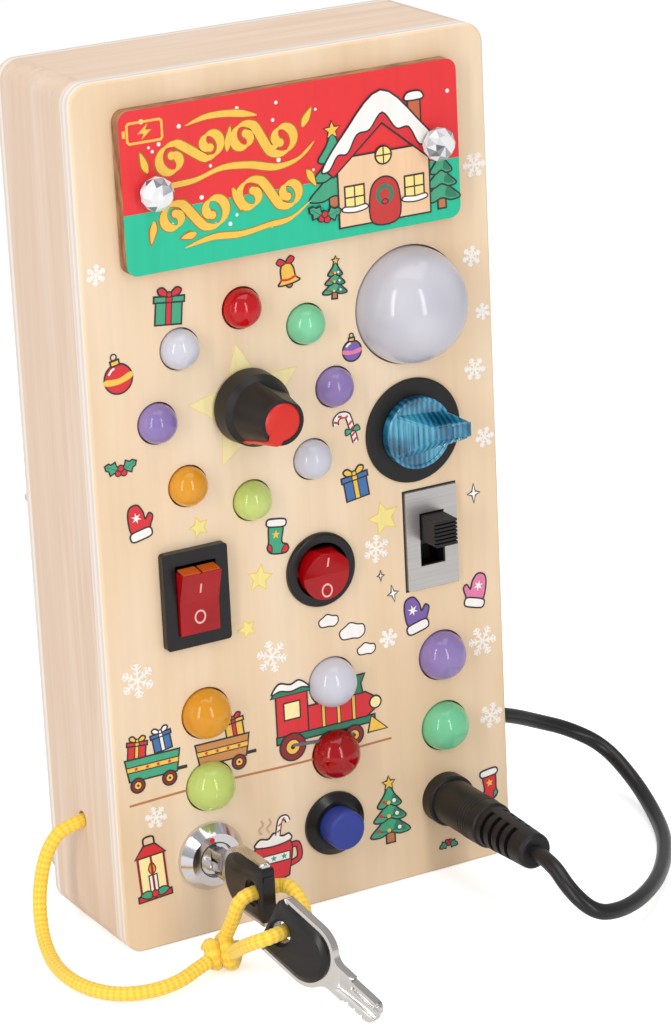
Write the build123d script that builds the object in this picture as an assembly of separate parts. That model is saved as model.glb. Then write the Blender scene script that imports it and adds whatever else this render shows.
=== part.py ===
# Wooden busy board: an upright hollow pine case whose plywood front carries switches, knobs,
# a key lock, a plug and socket, and coloured light domes. Millimetres, +Z up, the front faces -Y.
# Origin: centre of the case's bottom face.
import os
from math import cos, pi, radians, sin, sqrt, tan

from build123d import *

# ---- case ----
case_width = 95.0
case_height = 186.0
case_depth = 34.5
case_corner_radius = 4.5
front_thickness = 4.0
back_thickness = 3.0
wall_thickness = 5.0
inner_width = case_width - 2 * wall_thickness
edge_round = 0.8

# ---- fits ----
slip = 0.05            # running fit of a shaft in its bore, radial
fit = 0.15             # loose fit of a body in its cut-out, per side
seat = 0.3             # air between a free piece and its seat
dome_gap = 0.3         # ring of air round each dome in the front panel
past = 1.0             # how far a cutting tool runs past the face it cuts

# ---- places of the controls on the front: x to the right, z up from the base ----
lamp_left = -25.6
lamp_middle = 4.6
lamp_right = 31.75
lamp_low = 33.6
lamp_high = 49.9
row_switches = 0.4102 * case_height
rect_x = -26.8
round_x = 3.1
round_z = row_switches - 0.7
slide_x = 30.2
slide_z = row_switches + 0.8
lock_x = -26.65
lock_z = 18.05
push_x = 3.4
push_z = 17.9
jack_x = 31.2
jack_z = 17.0

# ---- battery door ----
door_width = 77.4
door_height = 33.5
door_thickness = 3.0
door_corner_radius = 2.5
door_x = 0.2
door_z = 0.8776 * case_height
door_screw_offset = door_width / 2 - 6.3
screw_head_radius = 3.55
screw_head_height = 4.6
screw_collar_radius = 2.6
screw_collar_height = 0.8
screw_girdle = 0.6         # band between the two rows of facets
screw_crown = 0.62         # crown's radius as a share of the head's
screw_stud_radius = 1.5
insert_radius = 2.5
insert_length = 3.6
cell_radius = 5.25
cell_length = 43.5
cell_tip_radius = 1.9
cell_tip_length = 1.0
cell_gap = 0.8
tray_wall = 1.2
tray_lip = 2.5
tray_lip_thickness = 1.5
contact_thickness = 0.3
contact_spring_length = 2.6
contact_spring_pitch = 0.95
contact_spring_radius = 2.6
contact_wire_radius = 0.35

# ---- domes: a ring of small ones round the black dial, six in rows, one large ----
ring_radius = 20.6
ring_count = 8
small_dome_radius = 4.2
row_dome_radius = 5.4
flood_dome_radius = 12.5
dome_wall = 0.9
dome_flange = 1.2
dome_flange_thickness = 1.0
dome_rim = dome_gap + dome_flange
ring_reach = ring_radius + small_dome_radius + dome_rim
ring_near = ring_radius * cos(pi / 4) + small_dome_radius + dome_rim
flood_reach = flood_dome_radius + dome_rim
upper_room = inner_width - ring_reach - ring_near - 2 * flood_reach
ring_inset = 0.403 * upper_room
flood_inset = 0.125 * upper_room
ring_x = ring_inset + ring_reach - inner_width / 2
ring_z = 0.6156 * case_height
flood_x = inner_width / 2 - flood_inset - flood_reach
flood_z = 0.693 * case_height

# ---- lights and circuit board ----
led_radius = 2.5
led_height = 8.6
led_flange = 0.4
led_flange_thickness = 1.0
led_leg = 0.25
led_leg_spacing = 2.54
led_leg_length = 3.2
board_gap = 8.0        # front panel's back to the circuit board's front
board_thickness = 1.6
board_margin = 4.0         # board's edge to the middle of its spacers and wire ends
board_width = inner_width - 6.0
board_bottom = 28.5
board_top = 0.777 * case_height
board_corner = 2.0
board_hole_gap = 0.6
spacer_radius = 2.6
spacer_screw_radius = 1.2
spacer_head_radius = 2.4
spacer_head_height = 1.6
spacer_grip = 2.6
spacer_middle_x = 8.0

# ---- black dial ----
pot_radius = 8.0
bushing_radius = 3.5
bushing_proud = 3.0
dial_shaft_radius = 2.95
dial_shaft_flat = 1.1
dial_gap = 0.8
dial_skirt_radius = 7.95
dial_skirt_height = 4.2
dial_neck_radius = 6.6
dial_top_radius = 4.85
dial_height = 14.6
dial_bevel = 1.4
dial_hollow_radius = 6.2
dial_hollow_depth = 3.4
dial_cap_radius = 4.0
dial_cap_recess = 1.4
dial_cap_proud = 0.3
dial_pointer_width = 2.0
dial_pointer_depth = 0.9
dial_pointer_proud = 0.15
dial_skirt_taper = 0.3
dial_facet_foot = 5.5      # flat on the side away from the pointer: from the axis at its foot
dial_facet_head = 4.4
dial_roof = 1.2        # plastic left between the shaft's end and the cap's recess
dial_rest = 210.0      # pointer at rest, clockwise from the top, seen from the front

# ---- blue selector ----
selector_x = 26.8
selector_z = 0.5462 * case_height
selector_base_radius = 11.35
selector_base_height = 0.8
selector_base_round = 0.3
selector_disc_radius = 7.75
selector_disc_height = 1.8
selector_foot_left = (-6.2, 4.7)         # along the grip, half width
selector_foot_right = (6.5, 3.6)
selector_strip_left = (1.7, 1.2, 6.0)    # along the grip, half width, height above the panel
selector_strip_right = (10.1, 1.5, 7.3)
selector_stem_radius = 2.9
selector_bushing_radius = 4.0
selector_body_radius = 8.5
pot_floor = 2.0        # back wall of both potentiometers, under the shaft's end

# ---- rectangular rocker switch ----
rect_bezel_width = 15.0
rect_bezel_height = 21.0
bezel_thickness = 1.8
bezel_corner = 0.8
bezel_round = 0.6
switch_floor = 2.0
rect_body_width = 13.0
rect_body_height = 19.0
rect_body_depth = 14.0
rect_window_width = 9.4
rect_window_height = 15.2
rocker_gap = 0.2
rocker_tilt = 18.0
rocker_pin_radius = 1.1
rocker_pin_length = 0.7
rocker_end_gap = 0.7   # window's end to the rocker's end, half way through its travel
rocker_crest = 3.7     # height of each end above the panel, half way
rocker_dip = 0.9       # how much lower the middle lies
rocker_root = 4.5
rocker_root_width = 6.0
rocker_pivot = -0.5
rocker_waist = 0.5     # height at which the ends stop being upright
rocker_undercut = 0.4
tab_width = 4.8
tab_thickness = 0.8
tab_length = 6.0
tab_spacing = 6.5

# ---- round rocker switch ----
round_bezel_radius = 8.1
round_bezel_thickness = 1.2
round_body_radius = 7.4
round_window_radius = 6.1
round_body_depth = 13.0

# ---- slide switch ----
slide_plate_width = 12.5
slide_plate_height = 22.0
slide_plate_thickness = 0.8
slide_slot_width = 6.0
slide_slot_height = 11.8
slide_body_width = 8.6
slide_body_height = 16.0
slide_body_depth = 7.0
slide_body_wall = 1.0
slide_knob_width = 5.4
slide_knob_height = 5.8
slide_knob_proud = 6.8
slide_knob_ribs = 6
slide_rib_depth = 0.6
slide_foot = 2.2
slide_corner = 0.4
slide_pin_size = (1.4, 0.4, 2.0)

# ---- push button ----
push_bezel_radius = 7.1
push_bezel_thickness = 0.7
push_lip_radius = 5.4
push_lip_height = 1.8
push_thread_radius = 6.2
push_body_depth = 15.0
push_cap_radius = 4.35
push_cap_proud = 6.1
push_cap_tail = 6.0
push_cap_round = 0.7
push_bottom = 1.2
push_spring_radius = 2.6
push_spring_wire = 0.4
push_spring_pitch = 1.9
push_spring_seat = 4.0
push_tab_spot = 2.5

# ---- key lock ----
lock_bezel_radius = 7.45
lock_bezel_height = 3.3
lock_face_radius = 5.75
lock_thread_radius = 5.9
lock_depth = 17.0
lock_barrel_radius = 3.6
lock_barrel_sunk = 0.7     # barrel's face below the bezel's
lock_tail_radius = 2.2
lock_tail_length = 2.5
lock_floor = 1.5
lock_rim = 1.15        # height at which the bezel's slope begins
key_thickness = 2.0
key_blade_height = 5.0
key_blade_length = 8.5
key_tip_round = 2.0
key_neck = 5.6
key_neck_height = 6.0
key_neck_round = 3.0
key_lift = 0.6         # neck's end above the lock's face
key_head_length = 16.7
key_cover_height = 12.0
key_cover_thickness = 4.2
key_cover_rim = 1.1    # metal showing round the cover
key_cover_end = 0.8
key_corner = 0.6
key_hole_radius = 2.4
key_hole_rim = 0.4
key_hole_from_end = 3.7
key_notch_depth = 0.6
key_notch_half = 0.8
key_notch_first = 3.0
key_notch_pitch = 2.0
key_notch_count = 3
spare_key_end = (-29.0, -49.2, 15.75)
spare_key_towards = (-19.88, -75.11, 1.82)
spare_key_lean = 84.7

# ---- socket and plug ----
jack_radius = 5.75
jack_height = 3.3
jack_thread_radius = 4.4
jack_depth = 11.0
jack_tab_spot = 2.2
jack_round = 0.4
jack_core_radius = 1.0
jack_core_depth = 1.5
plug_pin_radius = 2.75
plug_pin_length = 9.5
plug_bore_clearance = 0.08
plug_collar_height = 0.6
plug_collar_step = 0.15
plug_body_radius = 5.05
plug_body_length = 16.0
plug_relief_front_radius = 4.6
plug_relief_back_radius = 3.9
plug_relief_length = 17.0
plug_groove_width = 1.3
plug_groove_depth = 0.9
plug_groove_count = 4
plug_rib_half = 1.2    # half the width of the solid strips between the grooves
plug_chamfer = 0.4
plug_end_round = 1.0

# ---- nuts behind or on the panel ----
nut_height = 2.0
nut_over_thread = 1.6

# ---- cords ----
cable_radius = 1.7
cord_radius = 1.5
cord_hole_clearance = 0.25
cord_hole_z = 25.5
knot_centre = (-33.8, -35.2, 4.1)
knot_half = (5.4, 3.7, 3.9)
stop_knot_radius = 2.9
cable_straight_end = -60.4
wire_radius = 0.6
wire_bend = 1.5
wire_side = 6.0        # sideways from a part's middle to where its wire meets the board
wire_drop = 15.5

# ---- back screws ----
back_screw_radius = 1.3
back_screw_head_radius = 2.7
back_screw_length = 11.0
back_screw_slot = 0.7
back_screw_slot_depth = 0.8

# ---- worked out from the sizes above ----
front_y = -case_depth / 2
back_y = case_depth / 2
wall_depth = case_depth - front_thickness - back_thickness
board_front = -front_thickness - board_gap
board_back = board_front - board_thickness


def on_front(shape, x, z):
    """Place a shape drawn with +Z out of the front panel and +Y up."""
    return Pos(x, front_y, z) * Rot(90, 0, 0) * shape


def cyl(radius, low, high):
    return Pos(0, 0, low) * Cylinder(radius, high - low, align=(Align.CENTER, Align.CENTER, Align.MIN))


def ring(outer, inner, low, high):
    return cyl(outer, low, high) - cyl(inner, low - past, high + past)


def block(width, height, low, high, corner=0.0):
    shape = Pos(0, 0, low) * Box(width, height, high - low, align=(Align.CENTER, Align.CENTER, Align.MIN))
    if corner > 0:
        shape = fillet(shape.edges().filter_by(Axis.Z), corner)
    return shape


def cone(bottom, top, low, high):
    return Pos(0, 0, low) * Cone(bottom, top, high - low, align=(Align.CENTER, Align.CENTER, Align.MIN))


def half_ball(radius, base):
    return Pos(0, 0, base) * Sphere(radius, arc_size1=0, arc_size2=90,
                                 align=(Align.CENTER, Align.CENTER, Align.MIN))


def spring(radius, wire, pitch, length):
    """A coil from z = 0 to z = length, its end turns' wire inside those limits."""
    path = Helix(pitch, length - 2 * wire, radius)
    start = Plane(origin=path @ 0, z_dir=path % 0)
    return Pos(0, 0, wire) * sweep(start * Circle(wire), path=path, is_frenet=True)


def save(name, *shapes):
    shape = shapes[0] if len(shapes) == 1 else Compound(children=[Compound([s.solid()]) for s in shapes])
    export_step(shape, f"parts/{name}.step")


def ring_spot(index):
    """Centre of one dome of the ring, counted clockwise from the top."""
    angle = radians(90 - index * 360 / ring_count)
    return (ring_x + ring_radius * cos(angle), ring_z + ring_radius * sin(angle))


lamp_spots = [(x, z) for x in (lamp_left, lamp_middle, lamp_right) for z in (lamp_high, lamp_low)]
ring_spots = [ring_spot(i) for i in range(ring_count)]
screw_spots = [(door_x - door_screw_offset, door_z), (door_x + door_screw_offset, door_z)]
lamp_row_middle = (lamp_low + lamp_high) / 2
spacer_spots = [(board_margin - board_width / 2, board_top - board_margin),
                (spacer_middle_x, board_top - board_margin),
                ((lamp_left + lamp_middle) / 2, lamp_row_middle),
                ((lamp_middle + lamp_right) / 2, lamp_row_middle)]


def tube(points, radius, name):
    """Straight runs joined by tangent arcs as large as the shorter run of each pair allows."""
    corners = [Vector(p) for p in points]
    radii = []
    for before, here, after in zip(corners, corners[1:], corners[2:]):
        turn = (here - before).get_angle(after - here)
        run = min((here - before).length, (after - here).length)
        radii.append(0.45 * run / tan(radians(turn) / 2))
    path = FilletPolyline(*corners, radius=radii)
    start = Plane(origin=path @ 0, z_dir=path % 0)
    body = sweep(start * Circle(radius), path=path)
    print(f"{name}: length {path.length:.1f}, tightest arc {min(radii):.1f}, arcs "
          + " ".join(f"{r:.0f}" for r in radii))
    print(f"{name}: volume {body.volume:.1f}, section times length {pi * radius ** 2 * path.length:.1f}")
    return body


# ---- case: four pine walls, plywood front, plywood back ----
def rounded_outline(low_y, high_y):
    plate = Pos(0, (low_y + high_y) / 2, case_height / 2) * Box(case_width, high_y - low_y, case_height)
    return fillet(plate.edges().filter_by(Axis.Y), case_corner_radius)


def case_shell():
    wall_front = front_y + front_thickness
    wall_back = back_y - back_thickness
    outline = rounded_outline(wall_front, wall_back)
    middle_y = (wall_front + wall_back) / 2
    inner_height = case_height - 2 * wall_thickness
    hollow = Pos(0, middle_y, case_height / 2) * Box(inner_width, wall_depth + 2 * past, inner_height)
    shell = outline - hollow
    column = Box(wall_thickness, wall_depth, case_height, align=(Align.MIN, Align.CENTER, Align.MIN))
    left = shell & (Pos(-case_width / 2, middle_y, 0) * column)
    right = shell & (Pos(inner_width / 2, middle_y, 0) * column)
    span = Box(inner_width, wall_depth, wall_thickness, align=(Align.CENTER, Align.CENTER, Align.MIN))
    bottom = Pos(0, middle_y, 0) * span
    top = Pos(0, middle_y, case_height - wall_thickness) * span
    hole = Rot(0, 90, 0) * Cylinder(cord_radius + cord_hole_clearance, 3 * wall_thickness)
    left = left - Pos(-case_width / 2, 0, cord_hole_z) * hole
    cable_hole = Rot(0, 90, 0) * Cylinder(cable_radius + cord_hole_clearance, 3 * wall_thickness)
    right = right - Pos(case_width / 2, 0, cord_hole_z) * cable_hole
    for x, z in back_screw_spots:
        pilot = Pos(x, back_y, z) * Rot(90, 0, 0) * Cylinder(back_screw_radius, 2 * back_screw_length)
        left = left - pilot
        right = right - pilot
    save("left_wall", left)
    save("right_wall", right)
    save("top_wall", top)
    save("bottom_wall", bottom)


back_screw_rows = (2 * wall_thickness, case_height / 2, case_height - 2 * wall_thickness)
back_screw_spots = [(side * (case_width - wall_thickness) / 2, z)
                    for side in (-1, 1) for z in back_screw_rows]


def back_panel():
    panel = rounded_outline(back_y - back_thickness, back_y)
    rim = panel.faces().sort_by(Axis.Y)[-1].edges()
    panel = fillet(rim, edge_round)
    head_height = back_screw_head_radius - back_screw_radius
    screw = cyl(back_screw_radius, -back_screw_length, -head_height)
    screw += cone(back_screw_radius, back_screw_head_radius, -head_height, 0)
    bar = block(1.2 * back_screw_head_radius, back_screw_slot, -back_screw_slot_depth, past)
    slot = bar + Rot(0, 0, 90) * bar
    screws = []
    for x, z in back_screw_spots:
        spot = Pos(x, back_y, z) * Rot(-90, 0, 0)
        panel = panel - spot * (cyl(back_screw_radius, -back_thickness - past, past)
                                + cone(back_screw_radius, back_screw_head_radius, -head_height, 0))
        screws.append(spot * (screw - slot))
    save("back_panel", panel)
    save("back_screws", *screws)


def tray_size():
    width = cell_length + cell_tip_length + contact_spring_length + 2 * contact_thickness + 2 * tray_wall
    height = 4 * cell_radius + cell_gap + 2 * tray_wall
    depth = 2 * cell_radius + 2 * seat + tray_wall
    return width, height, depth


def front_panel():
    panel = rounded_outline(front_y, front_y + front_thickness)
    rim = panel.faces().sort_by(Axis.Y)[0].edges()
    panel = fillet(rim, edge_round)
    deep = -front_thickness - past

    def cut(shape, x, z):
        nonlocal panel
        panel = panel - on_front(shape, x, z)

    width, height, _ = tray_size()
    cut(block(width + 2 * fit, height + 2 * fit, deep, past), door_x, door_z)
    for x, z in screw_spots:
        cut(cyl(insert_radius, deep, past), x, z)
    for x, z in ring_spots:
        cut(cyl(small_dome_radius + dome_gap, deep, past), x, z)
    for x, z in lamp_spots:
        cut(cyl(row_dome_radius + dome_gap, deep, past), x, z)
    cut(cyl(flood_dome_radius + dome_gap, deep, past), flood_x, flood_z)
    cut(cyl(bushing_radius + fit, deep, past), ring_x, ring_z)
    cut(cyl(selector_bushing_radius + fit, deep, past), selector_x, selector_z)
    cut(block(rect_body_width + 2 * fit, rect_body_height + 2 * fit, deep, past), rect_x, row_switches)
    cut(cyl(round_body_radius + fit, deep, past), round_x, round_z)
    slide_width = slide_body_width + 2 * fit
    slide_height = slide_body_height + 2 * fit
    cut(block(slide_width, slide_height, deep, past), slide_x, slide_z)
    cut(cyl(push_thread_radius + fit, deep, past), push_x, push_z)
    cut(cyl(lock_thread_radius + fit, deep, past), lock_x, lock_z)
    cut(cyl(jack_thread_radius + fit, deep, past), jack_x, jack_z)
    for x, z in spacer_spots:
        cut(cyl(spacer_screw_radius, deep, spacer_grip - front_thickness), x, z)
    save("front_panel", panel)


# ---- battery door, its thumb screws, and the battery tray behind it ----
def battery_bay():
    door = block(door_width, door_height, 0, door_thickness, door_corner_radius)
    for side in (-1, 1):
        hole = cyl(screw_stud_radius + fit, -past, door_thickness + past)
        door = door - Pos(side * door_screw_offset, 0, 0) * hole
    save("battery_door", on_front(door, door_x, door_z))

    collar_top = door_thickness + screw_collar_height
    stud = cyl(screw_stud_radius, seat - front_thickness, door_thickness)
    stud += cyl(screw_collar_radius, door_thickness, collar_top)
    girdle = collar_top + screw_head_height * 0.45
    girdle_top = girdle + screw_girdle
    head_top = collar_top + screw_head_height
    head = cone(screw_collar_radius * 1.15, screw_head_radius, collar_top, girdle)
    head += cyl(screw_head_radius, girdle, girdle_top)
    head += cone(screw_head_radius, screw_head_radius * screw_crown, girdle_top, head_top)
    insert = ring(insert_radius, screw_stud_radius + slip, -front_thickness, insert_length - front_thickness)
    inserts = []
    for name, (x, z) in zip(("left_thumb_screw", "right_thumb_screw"), screw_spots):
        save(name, on_front(stud, x, z), on_front(head, x, z))
        inserts.append(on_front(insert, x, z))
    save("door_inserts", *inserts)

    width, height, depth = tray_size()
    inner_low = -depth + tray_wall
    tray = block(width, height, -depth, 0)
    tray = tray - block(width - 2 * tray_wall, height - 2 * tray_wall, inner_low, past)
    lip_top = -front_thickness
    lip_low = lip_top - tray_lip_thickness
    lip = block(width + 2 * tray_lip, height + 2 * tray_lip, lip_low, lip_top)
    tray += lip - block(width - tray_wall, height - tray_wall, lip_low - past, lip_top + past)
    save("battery_box", on_front(tray, door_x, door_z))

    cell_z = inner_low + cell_radius
    row = cell_radius + cell_gap / 2
    inner = width / 2 - tray_wall - contact_thickness
    cell = cyl(cell_radius, 0, cell_length)
    cell += cyl(cell_tip_radius, cell_length, cell_length + cell_tip_length)
    plate = Box(contact_thickness, 1.8 * cell_radius, 1.8 * cell_radius)
    coil = spring(contact_spring_radius, contact_wire_radius, contact_spring_pitch, contact_spring_length)
    cells = []
    contacts = []
    for side in (-1, 1):
        turned = Rot(0, 90 * side, 0)
        cell_end = side * (inner - cell_tip_length - cell_length)
        cells.append(on_front(Pos(cell_end, side * row, cell_z) * turned * cell, door_x, door_z))
        plus = Pos(side * (inner + contact_thickness / 2), side * row, cell_z) * plate
        minus = Pos(-side * (inner + contact_thickness / 2), side * row, cell_z) * plate
        coil_here = Pos(-side * inner, side * row, cell_z) * turned * coil
        contacts += [on_front(s, door_x, door_z) for s in (plus, minus, coil_here)]
    save("batteries", *cells)
    save("battery_contacts", *contacts)


# ---- light domes, the lights inside them, and the circuit board ----
def dome(radius):
    shell = cyl(radius, -front_thickness, 0) + half_ball(radius, 0)
    flange_low = -front_thickness - dome_flange_thickness
    shell += cyl(radius + dome_gap + dome_flange, flange_low, -front_thickness)
    inside = radius - dome_wall
    return shell - cyl(inside, flange_low - past, 0) - half_ball(inside, 0)


def led():
    body = cyl(led_radius, 0, led_height - led_radius) + half_ball(led_radius, led_height - led_radius)
    body += cyl(led_radius + led_flange, 0, led_flange_thickness)
    for side in (-1, 1):
        body += Pos(side * led_leg_spacing / 2, 0, 0) * cyl(led_leg, -led_leg_length, led_flange_thickness)
    return body


def lights():
    names = {"ring_dome_red": (0,), "ring_dome_mint": (1,), "ring_domes_purple": (2, 6),
             "ring_domes_white": (3, 7), "ring_dome_lime": (4,), "ring_dome_orange": (5,)}
    for name, places in names.items():
        save(name, *[on_front(dome(small_dome_radius), *ring_spots[i]) for i in places])
    colours = ("orange", "lime", "white", "red", "purple", "mint")
    for colour, spot in zip(colours, lamp_spots):
        save(f"row_dome_{colour}", on_front(dome(row_dome_radius), *spot))
    save("flood_dome", on_front(dome(flood_dome_radius), flood_x, flood_z))
    led_spots = ring_spots + lamp_spots + [(flood_x, flood_z)]
    save("leds", *[on_front(Pos(0, 0, board_front) * led(), *spot) for spot in led_spots])

    board = block(board_width, board_top - board_bottom, board_back, board_front, board_corner)
    board = Pos(0, (board_bottom + board_top) / 2, 0) * board
    low = board_back - past
    high = board_front + past
    rect_width = rect_body_width + 2 * board_hole_gap
    rect_height = rect_body_height + 2 * board_hole_gap
    cuts = [Pos(rect_x, row_switches) * block(rect_width, rect_height, low, high),
            Pos(round_x, round_z) * cyl(round_body_radius + board_hole_gap, low, high)]
    for x, z in led_spots:
        cuts += [Pos(x + side * led_leg_spacing / 2, z) * cyl(led_leg + slip, low, high) for side in (-1, 1)]
    for x, z in spacer_spots:
        cuts.append(Pos(x, z) * cyl(spacer_screw_radius + slip, low, high))
    for cut in cuts:
        board = board - cut
    save("circuit_board", on_front(board, 0, 0))

    spacers = []
    for x, z in spacer_spots:
        spacer = ring(spacer_radius, spacer_screw_radius + slip, board_front, -front_thickness)
        screw = cyl(spacer_screw_radius, board_back, spacer_grip - front_thickness)
        screw += cyl(spacer_head_radius, board_back - spacer_head_height, board_back)
        spacers += [on_front(spacer, x, z), on_front(screw, x, z)]
    save("board_spacers", *spacers)


# ---- black dial: potentiometer, shaft, knob, red cap with its pointer ----
def dial():
    shaft_low = board_front + pot_floor
    body = cyl(pot_radius, board_front, -front_thickness)
    body += cyl(bushing_radius, -front_thickness, bushing_proud)
    body = body - cyl(dial_shaft_radius + slip, shaft_low - fit, bushing_proud + past)
    save("pot_body", on_front(body, ring_x, ring_z))

    top = dial_gap + dial_height
    shaft_top = top - dial_cap_recess - dial_roof
    flat = Pos(0, 2 * dial_shaft_radius - dial_shaft_flat, 0)
    flat_low = bushing_proud + past
    flat_cut = flat * block(4 * dial_shaft_radius, 2 * dial_shaft_radius, flat_low, shaft_top + past)
    shaft = cyl(dial_shaft_radius, shaft_low, shaft_top) - flat_cut
    save("pot_shaft", on_front(shaft, ring_x, ring_z))

    step = dial_gap + dial_skirt_height
    skirt_top = dial_skirt_radius - dial_skirt_taper
    outline = Polyline((0, dial_gap), (dial_skirt_radius, dial_gap), (skirt_top, step),
                       (dial_neck_radius, step + dial_bevel), (dial_top_radius, top), (0, top), close=True)
    knob = revolve(Plane.XZ * make_face(outline.edges()), Axis.Z)
    knob = knob - cyl(dial_hollow_radius, dial_gap - past, dial_gap + dial_hollow_depth)
    knob = knob - cyl(dial_cap_radius, top - dial_cap_recess, top + past)
    knob = knob - (cyl(dial_shaft_radius + slip, dial_gap, shaft_top + slip)
                   - Pos(0, slip) * flat_cut)
    lower = step + dial_bevel
    facet = Polyline((dial_facet_foot, lower), (dial_facet_head, top), (dial_facet_head, top + past),
                     (2 * dial_skirt_radius, top + past), (2 * dial_skirt_radius, lower), close=True)
    facet = extrude(Plane.YZ * make_face(facet.edges()), dial_skirt_radius, both=True)
    knob = knob - Rot(0, 0, 180 - dial_rest) * facet
    recess = top - dial_cap_recess
    cap_top = top + dial_cap_proud
    bar_start = dial_cap_radius - 1.0
    bar_foot = dial_neck_radius + dial_pointer_proud
    bar_head = dial_top_radius + dial_pointer_proud
    bar = Polyline((dial_neck_radius - dial_pointer_depth, lower), (bar_foot, lower), (bar_head, cap_top),
                   (bar_start, cap_top), (bar_start, recess), (dial_top_radius - dial_pointer_depth, recess),
                   close=True)
    bar = extrude(Plane.XZ * make_face(bar.edges()), dial_pointer_width / 2, both=True)
    bar = Rot(0, 0, 90 - dial_rest) * bar
    cap = cyl(dial_cap_radius, recess, cap_top) + bar
    save("dial_knob", on_front(knob - bar, ring_x, ring_z))
    save("dial_cap", on_front(cap, ring_x, ring_z))


# ---- blue selector: black base plate, potentiometer, translucent knob with a tapered grip ----
def selector():
    base = cyl(selector_base_radius, 0, selector_base_height)
    base = fillet(base.edges().sort_by(Axis.Z)[-1], selector_base_round)
    base = base - cyl(selector_bushing_radius + fit, -past, selector_base_height + past)
    save("selector_base", on_front(base, selector_x, selector_z))

    floor = board_front + pot_floor
    bushing_top = selector_base_height - seat
    body = cyl(selector_body_radius, board_front, -front_thickness)
    body += cyl(selector_bushing_radius, -front_thickness, bushing_top)
    body = body - cyl(selector_stem_radius + slip, floor - fit, bushing_top + past)
    save("selector_body", on_front(body, selector_x, selector_z))

    low = selector_base_height + seat
    shoulder = low + selector_disc_height
    knob = cyl(selector_disc_radius, low, shoulder)

    def outline(left, right):
        (x1, half1, z1), (x2, half2, z2) = left, right
        corners = ((x1, -half1, z1), (x2, -half2, z2), (x2, half2, z2), (x1, half1, z1))
        return make_face(Polyline(*corners, close=True).edges())

    foot = outline((*selector_foot_left, shoulder), (*selector_foot_right, shoulder))
    knob += loft([foot, outline(selector_strip_left, selector_strip_right)], ruled=True)
    knob += cyl(selector_stem_radius, floor, low)
    save("selector_knob", on_front(knob, selector_x, selector_z))


# ---- rocker switches ----
def rocker_profile(half_length, half_width):
    """Neutral rocker about its pivot line, drawn in the plane of up and out."""
    waist = half_length - rocker_undercut
    root = rocker_root_width / 2
    points = Polyline((-half_length, rocker_crest), (0, rocker_crest - rocker_dip),
                      (half_length, rocker_crest), (waist, rocker_waist), (root, -rocker_root),
                      (-root, -rocker_root), (-waist, rocker_waist), close=True)
    return extrude(Plane.YZ * make_face(points.edges()), half_width, both=True)


def tilt(shape):
    """The rest position: the lower end pressed in."""
    return Pos(0, 0, rocker_pivot) * Rot(rocker_tilt / 2, 0, 0) * Pos(0, 0, -rocker_pivot) * shape


def rocker_pin(reach, extra=0.0):
    return Pos(0, 0, rocker_pivot) * Rot(0, 90, 0) * Cylinder(rocker_pin_radius + extra, 2 * reach)


def tabs(depth, spots):
    return [Pos(0, y, 0) * block(tab_width, tab_thickness, -depth - tab_length, -depth) for y in spots]


def rockers():
    hole_low = switch_floor - rect_body_depth
    rect_hole = block(rect_window_width, rect_window_height, hole_low, bezel_thickness + past)
    reach = rect_window_width / 2 + rocker_pin_length
    housing = block(rect_bezel_width, rect_bezel_height, 0, bezel_thickness, bezel_corner)
    housing += block(rect_body_width, rect_body_height, -rect_body_depth, 0)
    housing = housing - rect_hole - rocker_pin(reach + slip, slip)
    contacts = tabs(rect_body_depth, (-tab_spacing, 0, tab_spacing))
    save("rect_switch_housing", *[on_front(s, rect_x, row_switches) for s in (housing, *contacts)])
    rocker = rocker_profile(rect_window_height / 2 - rocker_end_gap, rect_window_width / 2 - rocker_gap)
    save("rect_rocker", on_front(tilt(rocker) + rocker_pin(reach), rect_x, row_switches))

    round_hole = cyl(round_window_radius, -round_body_depth + switch_floor, bezel_thickness + past)
    reach = round_window_radius + rocker_pin_length
    housing = cyl(round_bezel_radius, 0, round_bezel_thickness)
    housing = fillet(housing.edges().sort_by(Axis.Z)[-1], bezel_round)
    housing += cyl(round_body_radius, -round_body_depth, 0)
    housing = housing - round_hole - rocker_pin(reach + slip, slip)
    contacts = tabs(round_body_depth, (-tab_spacing / 2, tab_spacing / 2))
    save("round_switch_housing", *[on_front(s, round_x, round_z) for s in (housing, *contacts)])
    radius = round_window_radius - rocker_end_gap
    rocker = rocker_profile(radius, radius) & cyl(radius, -rocker_root - past, rocker_crest + past)
    save("round_rocker", on_front(tilt(rocker) + rocker_pin(reach), round_x, round_z))


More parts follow.
